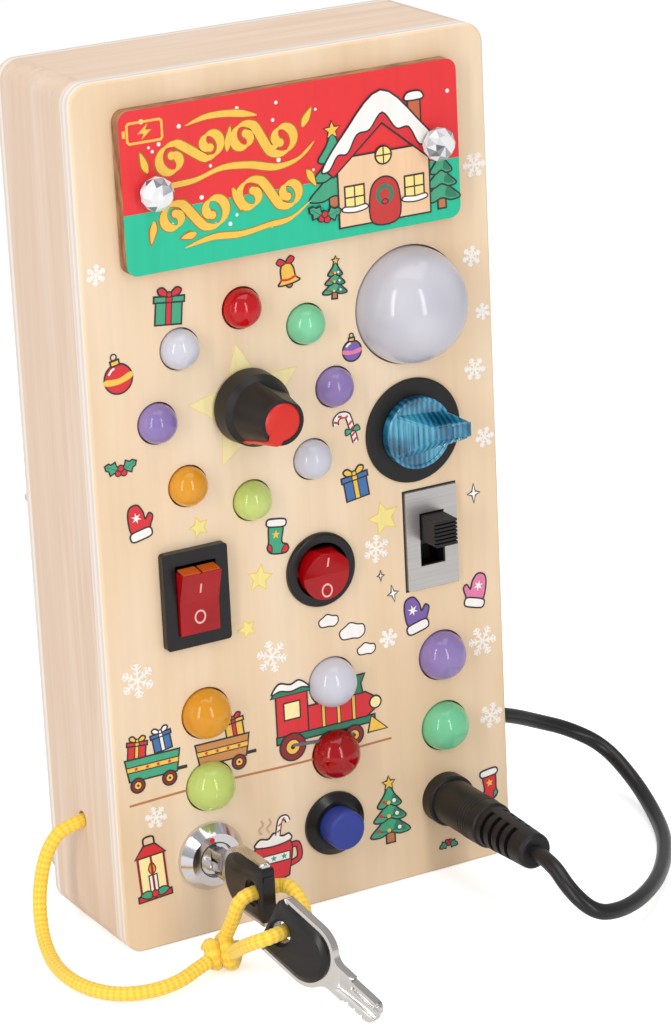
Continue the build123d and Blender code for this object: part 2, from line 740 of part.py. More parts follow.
# ---- slide switch, its knob at the upper end ----
def slide_switch():
    slot = block(slide_slot_width, slide_slot_height, -past, slide_plate_thickness + past)
    plate = block(slide_plate_width, slide_plate_height, 0, slide_plate_thickness, slide_corner) - slot
    save("slide_plate", on_front(plate, slide_x, slide_z))
    inner_wide = slide_body_width - 2 * slide_body_wall
    inner_tall = slide_body_height - 2 * slide_body_wall
    floor = -slide_body_depth + slide_body_wall
    body = block(slide_body_width, slide_body_height, -slide_body_depth, 0)
    body = body - block(inner_wide, inner_tall, floor, past)
    width, thickness, length = slide_pin_size
    contact = block(width, thickness, -slide_body_depth - length, -slide_body_depth)
    contacts = [Pos(0, y, 0) * contact for y in (-slide_body_height / 4, 0, slide_body_height / 4)]
    save("slide_body", *[on_front(s, slide_x, slide_z) for s in (body, *contacts)])
    travel = slide_slot_height - slide_knob_height - 2 * seat
    knob = block(slide_knob_width, slide_knob_height, -seat, slide_knob_proud, seat)
    knob += block(inner_wide - 2 * fit, slide_knob_height + slide_foot, floor + seat, -seat)
    pitch = slide_knob_height / (slide_knob_ribs + 1)
    groove_low = slide_knob_proud - slide_rib_depth
    groove = block(slide_knob_width + past, pitch * 0.45, groove_low, slide_knob_proud + past)
    for i in range(slide_knob_ribs):
        knob = knob - Pos(0, (i + 1) * pitch - slide_knob_height / 2, 0) * groove
    save("slide_knob", on_front(Pos(0, travel / 2, 0) * knob, slide_x, slide_z))


# ---- push button ----
def push_button():
    bore = push_cap_radius + 2 * slip
    floor = -push_body_depth + push_bottom
    body = cyl(push_bezel_radius, 0, push_bezel_thickness)
    body += cone(push_bezel_radius, push_lip_radius, push_bezel_thickness, push_lip_height)
    body += cyl(push_thread_radius, -push_body_depth, 0)
    contacts = tabs(push_body_depth, (-push_tab_spot, push_tab_spot))
    body = body - cyl(bore, floor, push_lip_height + past)
    save("push_body", *[on_front(s, push_x, push_z) for s in (body, *contacts)])
    cap = cyl(push_cap_radius, -push_cap_tail, push_cap_proud)
    cap = fillet(cap.edges().sort_by(Axis.Z)[-1], push_cap_round)
    ceiling = -push_cap_tail + push_spring_seat
    cap = cap - cyl(push_spring_radius + push_spring_wire + seat, -push_cap_tail - past, ceiling)
    save("push_cap", on_front(cap, push_x, push_z))
    coil = spring(push_spring_radius, push_spring_wire, push_spring_pitch, ceiling - floor - slip)
    save("push_spring", on_front(Pos(0, 0, floor) * coil, push_x, push_z))


# ---- key lock with its key, and the spare key on the cord ----
def key_parts():
    """Metal key and its cover. z = 0 is the head's outer end and the blade points to -Z."""
    def strip(height, low, high):
        return Pos(0, (low + high) / 2) * Rectangle(height, high - low)

    def arch(height, low, high):
        face = strip(height, low, high)
        corners = face.vertices().sort_by(Axis.Y)
        face = fillet(corners[:2], height / 2 - slip)
        return fillet(face.vertices().sort_by(Axis.Y)[-2:], key_corner)

    def plate(face, thickness):
        return extrude(Plane.YZ * face, thickness / 2, both=True)

    head_height = key_cover_height + 2 * key_cover_rim
    head = arch(head_height, -key_head_length - key_cover_rim, -key_cover_end)
    shoulder = -key_head_length - key_neck
    outline = head + strip(key_neck_height, shoulder, -key_head_length / 2)
    inner_corners = outline.vertices().filter_by(
        lambda v: abs(abs(v.X) - key_neck_height / 2) < slip and v.Y > shoulder + slip)
    metal = plate(fillet(inner_corners, key_neck_round), key_thickness)
    low = shoulder - key_blade_length
    blade = strip(key_blade_height, low, -key_head_length)
    blade = fillet(blade.vertices().sort_by(Axis.Y)[:2], key_tip_round)
    metal += plate(blade, key_thickness)
    notch = Polyline((0, -key_notch_depth), (key_notch_half, key_notch_depth),
                     (-key_notch_half, key_notch_depth), close=True)
    for i in range(key_notch_count):
        notch_spot = low + key_notch_first + key_notch_pitch * i
        cut = Pos(-key_blade_height / 2, notch_spot) * Rot(0, 0, 90) * make_face(notch.edges())
        metal = metal - plate(cut, 2 * key_thickness)
    cover = plate(arch(key_cover_height, -key_head_length, 0), key_cover_thickness)
    hole = Pos(0, 0, -key_hole_from_end) * Rot(0, 90, 0) * Cylinder(key_hole_radius, 2 * key_cover_thickness)
    metal = metal - hole
    cover = cover - plate(head, key_thickness) - hole
    for side in (-1, 1):
        rim = cone(key_hole_radius, key_hole_radius + key_hole_rim, key_cover_thickness / 2 - key_hole_rim,
                   key_cover_thickness / 2)
        cover = cover - Pos(0, 0, -key_hole_from_end) * Rot(0, 90 * side, 0) * rim
    return metal, cover


def key_lock():
    floor = -lock_depth + lock_floor
    body = cyl(lock_bezel_radius, 0, lock_rim)
    body += cone(lock_bezel_radius, lock_face_radius, lock_rim, lock_bezel_height)
    body += cyl(lock_thread_radius, -lock_depth, 0)
    body = body - cyl(lock_barrel_radius + slip, floor, lock_bezel_height + past)
    body = body - cyl(lock_tail_radius + slip, -lock_depth - past, floor + past)
    save("lock_body", on_front(body, lock_x, lock_z))

    barrel = cyl(lock_barrel_radius, floor + slip, lock_bezel_height - lock_barrel_sunk)
    barrel += cyl(lock_tail_radius, -lock_depth - lock_tail_length, floor + slip)
    neck_end = lock_bezel_height + key_lift
    slot_low = neck_end - key_blade_length - seat
    keyway = block(key_thickness + 2 * slip, key_blade_height + 2 * slip, slot_low, lock_bezel_height + past)
    barrel = barrel - keyway
    save("lock_barrel", on_front(barrel, lock_x, lock_z))

    metal, cover = key_parts()
    outer_end = neck_end + key_neck + key_head_length
    save("key_blade", on_front(Pos(0, 0, outer_end) * metal, lock_x, lock_z))
    save("key_cover", on_front(Pos(0, 0, outer_end) * cover, lock_x, lock_z))

    end = Vector(spare_key_end)
    out = (end - Vector(spare_key_towards)).normalized()
    lean = Vector(cos(radians(spare_key_lean)), 0, sin(radians(spare_key_lean)))
    up = (lean - out * lean.dot(out)).normalized()
    spot = Plane(origin=end, x_dir=up.cross(out), z_dir=out)
    save("spare_key_blade", spot * metal)
    save("spare_key_cover", spot * cover)


# ---- socket and plug ----
def plug_and_socket():
    bore_low = jack_height - plug_pin_length - seat
    socket = cyl(jack_radius, 0, jack_height)
    socket = fillet(socket.edges().sort_by(Axis.Z)[-1], jack_round) + cyl(jack_thread_radius, -jack_depth, 0)
    socket = socket - cyl(plug_pin_radius + plug_bore_clearance, bore_low, jack_height + past)
    socket += cyl(jack_core_radius, bore_low, jack_height - jack_core_depth)
    contacts = tabs(jack_depth, (-jack_tab_spot, jack_tab_spot))
    save("jack_socket", *[on_front(s, jack_x, jack_z) for s in (socket, *contacts)])

    face = jack_height + slip
    pin = ring(plug_pin_radius, jack_core_radius + plug_bore_clearance, jack_height - plug_pin_length, face)
    pin += cyl(plug_body_radius - plug_collar_step, face, face + plug_collar_height)
    start = face + plug_collar_height
    body_end = start + plug_body_length
    relief_end = body_end + plug_relief_length
    body = cyl(plug_body_radius, start, body_end)
    body = chamfer(body.edges().sort_by(Axis.Z)[-1], plug_chamfer)
    relief = cone(plug_relief_front_radius, plug_relief_back_radius, body_end, relief_end)
    relief = fillet(relief.edges().sort_by(Axis.Z)[-1], plug_end_round)
    pitch = plug_relief_length / (plug_groove_count + 1.6)
    for i in range(plug_groove_count):
        low = body_end + pitch * (i + 0.6)
        inner = plug_relief_front_radius - plug_groove_depth * (1 + i / 6)
        bite = ring(plug_body_radius, inner, low, low + plug_groove_width)
        strip = block(2 * plug_rib_half, 3 * plug_body_radius, low - past, low + plug_groove_width + past)
        relief = relief - (bite - strip)
    save("plug_body", on_front(body + relief, jack_x, jack_z), on_front(pin, jack_x, jack_z))
    return front_y - relief_end


# ---- nuts: hexagons on the threads behind the panel, and the dial's nut in front ----
def panel_nuts():
    nuts = []
    behind = (-front_thickness - nut_height, -front_thickness)
    sizes = ((lock_x, lock_z, lock_thread_radius, behind),
             (push_x, push_z, push_thread_radius, behind),
             (jack_x, jack_z, jack_thread_radius, behind),
             (ring_x, ring_z, bushing_radius, (0, nut_height)))
    for x, z, thread, (low, high) in sizes:
        hexagon = extrude(RegularPolygon(thread + nut_over_thread, 6, major_radius=False), high - low)
        nut = Pos(0, 0, low) * hexagon - cyl(thread + slip, low - past, high + past)
        nuts.append(on_front(nut, x, z))
    save("panel_nuts", *nuts)


# ---- cords: the plug's cable, the yellow cord and its loop through both keys ----
def cords(plug_end_y):
    cable = [(jack_x, plug_end_y, jack_z), (jack_x, cable_straight_end, jack_z),
             (31.3, -67.2, 12.8), (34.6, -71.6, 8.6), (41.8, -70.4, 7.0), (51.6, -64.6, 5.8),
             (63.4, -53.2, 4.0), (75.4, -37.0, 2.3), (82.6, -22.0, 1.9), (85.4, -9.5, 5.2),
             (84.0, 0.6, 10.6), (77.4, 5.0, 14.8), (69.0, 5.0, 18.6), (61.6, 2.4, 22.4),
             (54.0, 0.0, cord_hole_z), (38.0, 0.0, cord_hole_z)]
    save("plug_cable", tube(cable, cable_radius, "plug_cable"))

    hole = cord_radius + cord_hole_clearance - slip
    seated = wall_thickness - case_width / 2 + sqrt(stop_knot_radius ** 2 - hole ** 2)
    lead = [(seated, 0.0, cord_hole_z), (-51.2, 0.0, cord_hole_z), (-55.8, 1.2, 20.4),
            (-58.6, 0.6, 11.6), (-60.4, -3.2, 4.4), (-62.4, -11.0, 1.8), (-63.8, -20.0, 1.7),
            (-63.0, -28.6, 1.7), (-59.2, -35.8, 1.8), (-53.0, -39.4, 2.2), (-46.6, -39.8, 2.8),
            (-41.4, -37.8, 3.5), (-38.4, -36.7, 3.9)]
    stop_knot = Pos(seated, 0, cord_hole_z) * Sphere(stop_knot_radius)
    knot = Pos(*knot_centre) * scale(Sphere(1), by=knot_half)
    around_knot = Pos(*knot_centre) * scale(Sphere(1), by=tuple(half + seat for half in knot_half))
    save("yellow_cord", tube(lead, cord_radius, "yellow_cord") - around_knot + stop_knot)

    loop = [(-33.4, -34.2, 6.2), (-32.6, -37.8, 11.6), (-31.7, -39.7, 17.6), (-26.65, -39.75, 18.05),
            (-22.0, -39.8, 18.3), (-20.6, -43.2, 18.3), (-20.8, -49.4, 13.7), (-27.9, -52.3, 14.1),
            (-32.7, -54.2, 14.5), (-35.2, -50.8, 12.6), (-34.8, -45.0, 9.2), (-33.0, -37.4, 4.6)]
    save("key_loop", tube(loop, cord_radius, "key_loop") + knot)


# ---- wires behind the panel ----
def wires():
    width, _, depth = tray_size()
    battery_wire = width / 2 - wire_side
    board_row = board_bottom + board_margin
    board_side = board_width / 2 - board_margin
    ends = [((rect_x, row_switches + tab_spacing), -rect_body_depth - tab_length,
             (rect_x - wire_side, row_switches - wire_drop)),
            ((round_x, round_z + tab_spacing / 2), -round_body_depth - tab_length,
             (round_x - wire_side, round_z - wire_drop)),
            ((push_x, push_z + push_tab_spot), -push_body_depth - tab_length,
             (push_x - wire_side, board_row)),
            ((jack_x, jack_z + jack_tab_spot), -jack_depth - tab_length,
             (jack_x - wire_side, board_row)),
            ((door_x - battery_wire, door_z), -depth, (-board_side, ring_z + wire_side)),
            ((door_x + battery_wire, door_z), -depth, (board_side, selector_z + 2 * wire_side))]
    runs = []
    deep = min(start for _, start, _ in ends) - wire_bend - slip
    for spot, start, target in ends:
        corners = ((*spot, start), (*spot, deep), (*target, deep), (*target, board_back))
        path = FilletPolyline(*corners, radius=wire_bend)
        begin = Plane(origin=path @ 0, z_dir=path % 0)
        runs.append(on_front(sweep(begin * Circle(wire_radius), path=path), 0, 0))
    save("wire_harness", *runs)


def build():
    os.makedirs("parts", exist_ok=True)
    case_shell()
    back_panel()
    front_panel()
    battery_bay()
    lights()
    dial()
    selector()
    rockers()
    slide_switch()
    push_button()
    key_lock()
    plug_end_y = plug_and_socket()
    panel_nuts()
    cords(plug_end_y)
    wires()


build()
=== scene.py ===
# Wooden LED busy board: finishes, prints, cords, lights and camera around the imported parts
import random
from math import acos, atan2, cos, hypot, pi, radians, sin

import bmesh
import bpy
from mathutils import Matrix, Vector
from mathutils.geometry import tessellate_polygon


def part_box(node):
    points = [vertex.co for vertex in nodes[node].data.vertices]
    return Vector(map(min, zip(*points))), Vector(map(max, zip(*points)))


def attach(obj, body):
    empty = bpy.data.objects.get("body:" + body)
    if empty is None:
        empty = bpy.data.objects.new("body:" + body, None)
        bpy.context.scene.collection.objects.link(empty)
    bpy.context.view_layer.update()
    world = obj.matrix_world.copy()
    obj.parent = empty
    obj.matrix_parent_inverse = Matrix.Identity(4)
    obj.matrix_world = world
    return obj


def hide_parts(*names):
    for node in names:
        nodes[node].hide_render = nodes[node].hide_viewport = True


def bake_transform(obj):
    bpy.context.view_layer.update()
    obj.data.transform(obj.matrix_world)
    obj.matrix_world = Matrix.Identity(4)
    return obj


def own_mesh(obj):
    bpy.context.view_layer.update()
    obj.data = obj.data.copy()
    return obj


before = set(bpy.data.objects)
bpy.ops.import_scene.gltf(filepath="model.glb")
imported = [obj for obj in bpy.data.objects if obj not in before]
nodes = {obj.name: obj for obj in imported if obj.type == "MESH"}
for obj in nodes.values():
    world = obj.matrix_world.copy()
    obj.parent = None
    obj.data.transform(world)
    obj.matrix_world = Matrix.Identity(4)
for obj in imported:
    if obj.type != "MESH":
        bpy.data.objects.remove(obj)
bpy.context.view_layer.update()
mm = 0.001
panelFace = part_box("front_panel")[0][1] / mm    # y of the panel's face
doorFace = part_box("battery_door")[0][1] / mm
scene = bpy.context.scene
scene.view_settings.view_transform = "Standard"


def linear(hexCode):
    channels = [int(hexCode[i:i + 2], 16) / 255 for i in (1, 3, 5)]
    return tuple(c / 12.92 if c <= 0.04045 else ((c + 0.055) / 1.055) ** 2.4 for c in channels) + (1.0,)


def point(x, y, z):
    return Vector((x * mm, y * mm, z * mm))


def onFront(x, z, local):
    # local is right, up and out, in millimetres, from a spot on the panel's face
    return point(x + local[0], panelFace - local[2], z + local[1])


# nodes: the Mix node's inputs have numbers in its colour mode
mixShare, mixFirst, mixSecond = 0, 6, 7
multiply = {"data_type": "RGBA", "blend_type": "MULTIPLY"}


def liveOutput(source):
    # a node stands for its first live output
    if isinstance(source, bpy.types.NodeSocket):
        return source
    return next(socket for socket in source.outputs if socket.enabled)


def setStops(elements, stops):
    while len(elements) < len(stops):
        elements.new(0.5)
    for element, (position, colour) in zip(elements, stops):
        element.position = position
        element.color = linear(colour) if isinstance(colour, str) else (colour, colour, colour, 1)


def addNode(tree, kind, settings=None, links=None, into=None):
    # kind is the node's name without its tree's; settings are attributes, input values or a ramp's stops;
    # links and into plug in nodes or sockets
    node = tree.nodes.new(tree.bl_idname.removesuffix("Tree") + kind)
    for name, value in (settings or {}).items():
        if name == "stops":
            setStops(node.color_ramp.elements, value)
        elif isinstance(name, str) and hasattr(node, name):
            setattr(node, name, value)
        else:
            node.inputs[name].default_value = value
    for name, source in (links or {}).items():
        tree.links.new(liveOutput(source), node.inputs[name])
    if into:
        tree.links.new(liveOutput(node), into)
    return node


def pattern(tree, kind, grain, settings):
    # a texture on object coordinates, with a figure of the grain's size along x, y and z in millimetres
    sizes = grain if isinstance(grain, tuple) else (grain,) * 3
    place = addNode(tree, "TexCoord").outputs["Object"]
    spread = addNode(tree, "Mapping", {"Scale": [1 / (size * mm) for size in sizes]}, {"Vector": place})
    return addNode(tree, kind, {"Scale": 1.0, **settings}, {"Vector": spread})


def newMaterial(name, colour, **shaderValues):
    material = bpy.data.materials.new(name)
    material.use_nodes = True
    tree = material.node_tree
    inputs = tree.nodes["Principled BSDF"].inputs
    inputs["Base Color"].default_value = linear(colour)
    for key, value in shaderValues.items():
        inputs[key.replace("_", " ")].default_value = value
    return material, tree, inputs


# meshes and pieces
def cleaned(data, weld=0.0, outward=True):
    work = bmesh.new()
    work.from_mesh(data)
    if weld:
        bmesh.ops.remove_doubles(work, verts=work.verts, dist=weld)
    if outward:
        bmesh.ops.recalc_face_normals(work, faces=work.faces)
    work.to_mesh(data)
    work.free()
    return data


def newMesh(name, vertices, faces, sharp=30):
    data = bpy.data.meshes.new(name)
    data.from_pydata([tuple(v) for v in vertices], [], faces)
    cleaned(data, 1e-7)
    data.shade_smooth()
    data.set_sharp_from_angle(angle=radians(sharp))
    return data


def evaluatedMesh(holder):
    bpy.context.view_layer.update()
    return bpy.data.meshes.new_from_object(holder.evaluated_get(bpy.context.evaluated_depsgraph_get()))


def cutMesh(name, data, cutters, sharp):
    # the mesh less its cutters
    blank = bpy.data.objects.new(name, data)
    tools = [bpy.data.objects.new(name + "Cutter", cutter) for cutter in cutters]
    for made in (blank, *tools):
        scene.collection.objects.link(made)
    for tool in tools:
        cut = blank.modifiers.new("cut", "BOOLEAN")
        cut.object = tool
        cut.solver = "EXACT"
    plain = evaluatedMesh(blank)
    plain.name = name
    plain.set_sharp_from_angle(angle=radians(sharp))
    for made in (blank, *tools):
        bpy.data.objects.remove(made)
    return plain


def meshPiece(name, data, body, finish, replaced=()):
    piece = bpy.data.objects.new(name, data)
    scene.collection.objects.link(piece)
    if finish:
        data.materials.append(finish)
    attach(piece, body)
    if replaced:
        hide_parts(*replaced)
    return piece


def frontPiece(name, spot, shape, body, finish, replaced=(), sharp=30):
    # a shape given right, up and out, in millimetres, stands on the panel at its spot
    vertices, faces = shape
    data = newMesh(name, [onFront(*spot, v) for v in vertices], faces, sharp)
    return meshPiece(name, data, body, finish, replaced)


def turned(profile, around=72, closed=False):
    # profile is radius and height from pole to pole, or a closed ring's section
    rows = len(profile)
    vertices = [(radius * cos(2 * pi * i / around), radius * sin(2 * pi * i / around), height)
                for radius, height in profile for i in range(around)]
    faces = []
    for row in range(rows if closed else rows - 1):
        low, high = row * around, (row + 1) % rows * around
        faces += [(low + i, low + (i + 1) % around, high + (i + 1) % around, high + i) for i in range(around)]
    return vertices, faces


def boxMesh(low, high):
    corners = [(x, y, z) for x in (low[0], high[0]) for y in (low[1], high[1]) for z in (low[2], high[2])]
    return corners, [(0, 1, 3, 2), (4, 6, 7, 5), (0, 4, 5, 1), (2, 3, 7, 6), (0, 2, 6, 4), (1, 5, 7, 3)]


def joined(*parts):
    vertices, faces = [], []
    for partVertices, partFaces in parts:
        base = len(vertices)
        vertices += partVertices
        faces += [tuple(base + i for i in face) for face in partFaces]
    return vertices, faces


# camera, floor and lights
cameraSettings = {"place": (-362.73, -695.11, 346.57), "ahead": (0.45442, 0.83201, -0.31822),
                  "right": (0.86918, -0.49235, -0.04608), "lens": 136.931, "sensor": 36.0}
stageSettings = {"floorSize": 6, "floor": "#FBFBFB", "floorGlow": 0.5, "sky": "#F4F4F6", "skyStrength": 0.5}
lampSettings = {"leftStrip": {"place": (-740, -440, 365), "size": (110, 900), "power": 2.75},
                "rightStrip": {"place": (22, -870, 325), "size": (110, 900), "power": 2.75},
                "sideFill": {"place": (-800, 160, 300), "size": (500, 600), "power": 1.2},
                "topFill": {"place": (60, -40, 800), "size": (600, 600), "power": 2.3}}
lampTarget = (0, 0, 95)


def makeCamera():
    ahead = Vector(cameraSettings["ahead"]).normalized()
    right = Vector(cameraSettings["right"])
    right = (right - ahead * right.dot(ahead)).normalized()
    up = right.cross(ahead)
    turn = Matrix((right, up, -ahead)).transposed().to_4x4()
    lens = bpy.data.cameras.new("camera")
    lens.lens = cameraSettings["lens"]
    lens.sensor_width = cameraSettings["sensor"]
    lens.clip_start = 0.01
    lens.clip_end = 20
    camera = bpy.data.objects.new("camera", lens)
    camera.matrix_world = Matrix.Translation(point(*cameraSettings["place"])) @ turn
    scene.collection.objects.link(camera)
    scene.camera = camera


def makeFloor():
    # the camera sees the paper a little brighter than it lights the board
    bpy.ops.mesh.primitive_plane_add(size=stageSettings["floorSize"], location=(0, 0, 0))
    floor = bpy.context.object
    floor.name = "studioFloor"
    material, tree, inputs = newMaterial("pale studio paper", stageSettings["floor"], Roughness=0.9,
                                         Specular_IOR_Level=0.1)
    paper = tree.nodes["Principled BSDF"]
    ray = addNode(tree, "LightPath")
    glow = addNode(tree, "Emission", {"Color": (1, 1, 1, 1), "Strength": stageSettings["floorGlow"]})
    both = addNode(tree, "AddShader", None, {0: paper, 1: glow})
    addNode(tree, "MixShader", None, {0: ray.outputs["Is Camera Ray"], 1: paper, 2: both},
            tree.nodes["Material Output"].inputs["Surface"])
    floor.data.materials.append(material)


def makeSky():
    # white where it is seen or seen through, soft grey where it lights
    world = bpy.data.worlds.new("studioWorld")
    scene.world = world
    world.use_nodes = True
    tree = world.node_tree
    soft = tree.nodes["Background"]
    soft.inputs["Color"].default_value = linear(stageSettings["sky"])
    soft.inputs["Strength"].default_value = stageSettings["skyStrength"]
    white = addNode(tree, "Background", {"Color": (1, 1, 1, 1), "Strength": 1.0})
    ray = addNode(tree, "LightPath")
    seen = addNode(tree, "Math", {"operation": "MAXIMUM"},
                   {0: ray.outputs["Is Camera Ray"], 1: ray.outputs["Is Transmission Ray"]})
    addNode(tree, "MixShader", None, {0: seen, 1: soft, 2: white},
            tree.nodes["World Output"].inputs["Surface"])


def makeLamps():
    target = point(*lampTarget)
    for name, values in lampSettings.items():
        light = bpy.data.lights.new(name, "AREA")
        light.shape = "RECTANGLE"
        light.size = values["size"][0] * mm
        light.size_y = values["size"][1] * mm
        light.energy = values["power"]
        lamp = bpy.data.objects.new(name, light)
        lamp.location = point(*values["place"])
        lamp.rotation_euler = (target - lamp.location).to_track_quat("-Z", "Y").to_euler()
        scene.collection.objects.link(lamp)


makeCamera()
makeFloor()
makeSky()
makeLamps()
print("stage ready")


# finishes
def sandedPine(name, grainAlongX=False, light="#E4CDB8", mid="#DFC4AC", dark="#D2B295"):
    # clear pine, planed and sanded: broad pale bands and thin darker fibres along the grain, dull sheen
    material, tree, inputs = newMaterial(name, mid, Roughness=0.62)
    bandSize, fibreSize = (11.0, 11.0, 238.0), (0.8333, 0.8333, 33.3)
    if grainAlongX:
        bandSize, fibreSize = bandSize[::-1], fibreSize[::-1]
    bands = pattern(tree, "TexNoise", bandSize, {"Detail": 4.0, "Distortion": 0.6})
    fibres = pattern(tree, "TexNoise", fibreSize, {"Detail": 3.0})
    tones = [(0.3, light), (0.5, mid), (0.62, light), (0.78, dark)]
    tone = addNode(tree, "ValToRGB", {"stops": tones}, {"Fac": bands})
    streak = addNode(tree, "ValToRGB", {"stops": [(0.35, 0.93), (0.6, 1.0)]}, {"Fac": fibres})
    addNode(tree, "Mix", {**multiply, mixShare: 0.8}, {mixFirst: tone, mixSecond: streak},
            inputs["Base Color"])
    addNode(tree, "Bump", {"Strength": 0.12, "Distance": 0.1 * mm}, {"Height": fibres}, inputs["Normal"])
    return material


def birchPlywood(name, face="#EACFAD", shade="#E0C19B", pale="#EED8BC", ply=1.0):
    # birch-faced plywood: fine upright fibres on the face, thin plies as stripes on the cut edge
    material, tree, inputs = newMaterial(name, face, Roughness=0.55)
    fibres = pattern(tree, "TexNoise", (2.22, 2.22, 66.7), {"Detail": 5.0, "Distortion": 0.3})
    clouds = pattern(tree, "TexNoise", (20.8, 20.8, 83.3), {"Detail": 2.0})
    tone = addNode(tree, "ValToRGB", {"stops": [(0.3, pale), (0.5, face), (0.75, shade)]}, {"Fac": clouds})
    streak = addNode(tree, "ValToRGB", {"stops": [(0.35, 0.95), (0.6, 1.0)]}, {"Fac": fibres})
    wood = addNode(tree, "Mix", {**multiply, mixShare: 0.7}, {mixFirst: tone, mixSecond: streak})
    # plies and face are told apart by the way the surface points
    depth = addNode(tree, "SeparateXYZ", None,
                    {"Vector": addNode(tree, "TexCoord").outputs["Object"]})
    plies = addNode(tree, "Math", {"operation": "PINGPONG", 1: ply * mm}, {0: depth.outputs["Y"]})
    share = addNode(tree, "Math", {"operation": "DIVIDE", 1: ply * mm}, {0: plies})
    edge = addNode(tree, "ValToRGB", {"stops": [(0.45, "#E2D3C6"), (0.55, "#EEE3D8")]}, {"Fac": share})
    way = addNode(tree, "SeparateXYZ", None,
                  {"Vector": addNode(tree, "NewGeometry").outputs["Normal"]})
    facing = addNode(tree, "Math", {"operation": "ABSOLUTE"}, {0: way.outputs["Y"]})
    isFace = addNode(tree, "Math", {"operation": "GREATER_THAN", 1: 0.5}, {0: facing})
    addNode(tree, "Mix", {"data_type": "RGBA"}, {mixShare: isFace, mixFirst: edge, mixSecond: wood},
            inputs["Base Color"])
    addNode(tree, "Bump", {"Strength": 0.08, "Distance": 0.1 * mm}, {"Height": fibres}, inputs["Normal"])
    return material


def mouldedPlastic(name, colour, roughness=0.4, grain=0.06):
    # injection-moulded ABS: even colour, soft gloss, fine spark-eroded grain of 0.2 mm
    material, tree, inputs = newMaterial(name, colour, Roughness=roughness, IOR=1.53, Specular_IOR_Level=0.35)
    texture = pattern(tree, "TexNoise", 0.2, {"Detail": 2.0})
    cloud = pattern(tree, "TexNoise", 6.667, {"Detail": 2.0})
    shade = addNode(tree, "ValToRGB", {"stops": [(0.3, 0.93), (0.7, 1.0)]}, {"Fac": cloud})
    addNode(tree, "Mix", {**multiply, mixShare: 1.0, mixFirst: linear(colour)}, {mixSecond: shade},
            inputs["Base Color"])
    addNode(tree, "Bump", {"Strength": grain, "Distance": 0.1 * mm}, {"Height": texture}, inputs["Normal"])
    return material


def milkyAcrylic(name, colour, deep, see=0.12):
    # diffusing acrylic lens, polished mould: deep even colour, wet gloss, a little light through it
    material, tree, inputs = newMaterial(name, colour, Roughness=0.12, IOR=1.49, Specular_IOR_Level=0.25,
                                         Transmission_Weight=see, Coat_Weight=0.25, Coat_Roughness=0.05)
    cloud = pattern(tree, "TexNoise", 8.333, {"Detail": 0.0})
    addNode(tree, "ValToRGB", {"stops": [(0.2, deep), (0.75, colour)]}, {"Fac": cloud},
            inputs["Base Color"])
    return material


def tintedPolycarbonate(name, deep, colour, paintedRibGlint, ribSpacing=1.2083):
    # clear tinted moulding with fine ribs inside, under a wet gloss: light and dark bands across the grip are
    # painted reflections of the ribs
    material, tree, inputs = newMaterial(name, colour, Roughness=0.07, IOR=1.58, Transmission_Weight=0.4,
                                         Coat_Weight=0.7, Coat_Roughness=0.03)
    # a wave at this scale repeats once for each unit
    ribs = pattern(tree, "TexWave", ribSpacing,
                   {"Scale": pi / 10, "Distortion": 1.2, "Detail": 1.0, "Detail Scale": 0.3})
    depth = pattern(tree, "TexNoise", 6.25, {"Detail": 2.0})
    share = addNode(tree, "Math", {"operation": "MULTIPLY_ADD", 1: 0.22},
                    {0: ribs.outputs["Fac"], 2: depth})
    # painted reflections: bright and deep bands follow the ribs and a slow cloud
    addNode(tree, "ValToRGB", {"stops": [(0.4, deep), (0.62, colour), (0.85, paintedRibGlint)]}, {"Fac": share},
            inputs["Base Color"])
    addNode(tree, "Bump", {"Strength": 0.25, "Distance": 0.2 * mm}, {"Height": ribs.outputs["Fac"]},
            inputs["Normal"])
    return material


def polishedChrome(name, colour="#DAD9DC", roughness=0.09):
    # bright chrome plating on zinc: mirror gloss, faint hairlines
    material, tree, inputs = newMaterial(name, colour, Roughness=roughness, Metallic=1.0)
    lines = pattern(tree, "TexNoise", (0.3333, 0.3333, 11.11), {"Detail": 2.0})
    addNode(tree, "MapRange", {"To Min": roughness, "To Max": roughness + 0.08}, {"Value": lines},
            inputs["Roughness"])
    addNode(tree, "Bump", {"Strength": 0.02, "Distance": 0.1 * mm}, {"Height": lines}, inputs["Normal"])
    return material


def brushedSteel(name, colour="#C9C5C2", roughness=0.36, hairline=(25.0, 0.4, 0.4)):
    # rolled metal, brushed one way: long hairlines and a soft broken reflection
    material, tree, inputs = newMaterial(name, colour, Roughness=roughness, Metallic=0.9)
    lines = pattern(tree, "TexNoise", hairline, {"Detail": 4.0})
    shade = addNode(tree, "ValToRGB", {"stops": [(0.3, 0.86), (0.7, 1.0)]}, {"Fac": lines})
    addNode(tree, "Mix", {**multiply, mixShare: 1.0, mixFirst: linear(colour)}, {mixSecond: shade},
            inputs["Base Color"])
    addNode(tree, "Bump", {"Strength": 0.1, "Distance": 0.1 * mm}, {"Height": lines}, inputs["Normal"])
    return material


def facetedCrystal(name):
    # clear acrylic cut in facets: each facet's colour is a painted reflection, lighter or darker at random
    material, tree, inputs = newMaterial(name, "#FFFFFF", Roughness=0.04, IOR=1.49, Transmission_Weight=0.3)
    facet = addNode(tree, "Attribute", {"attribute_name": "facet"})
    addNode(tree, "ValToRGB", {"stops": [(0.0, "#5E5F66"), (0.25, "#BDBEC4"), (0.5, "#FFFFFF")]},
            {"Fac": facet.outputs["Fac"]}, inputs["Base Color"])
    return material


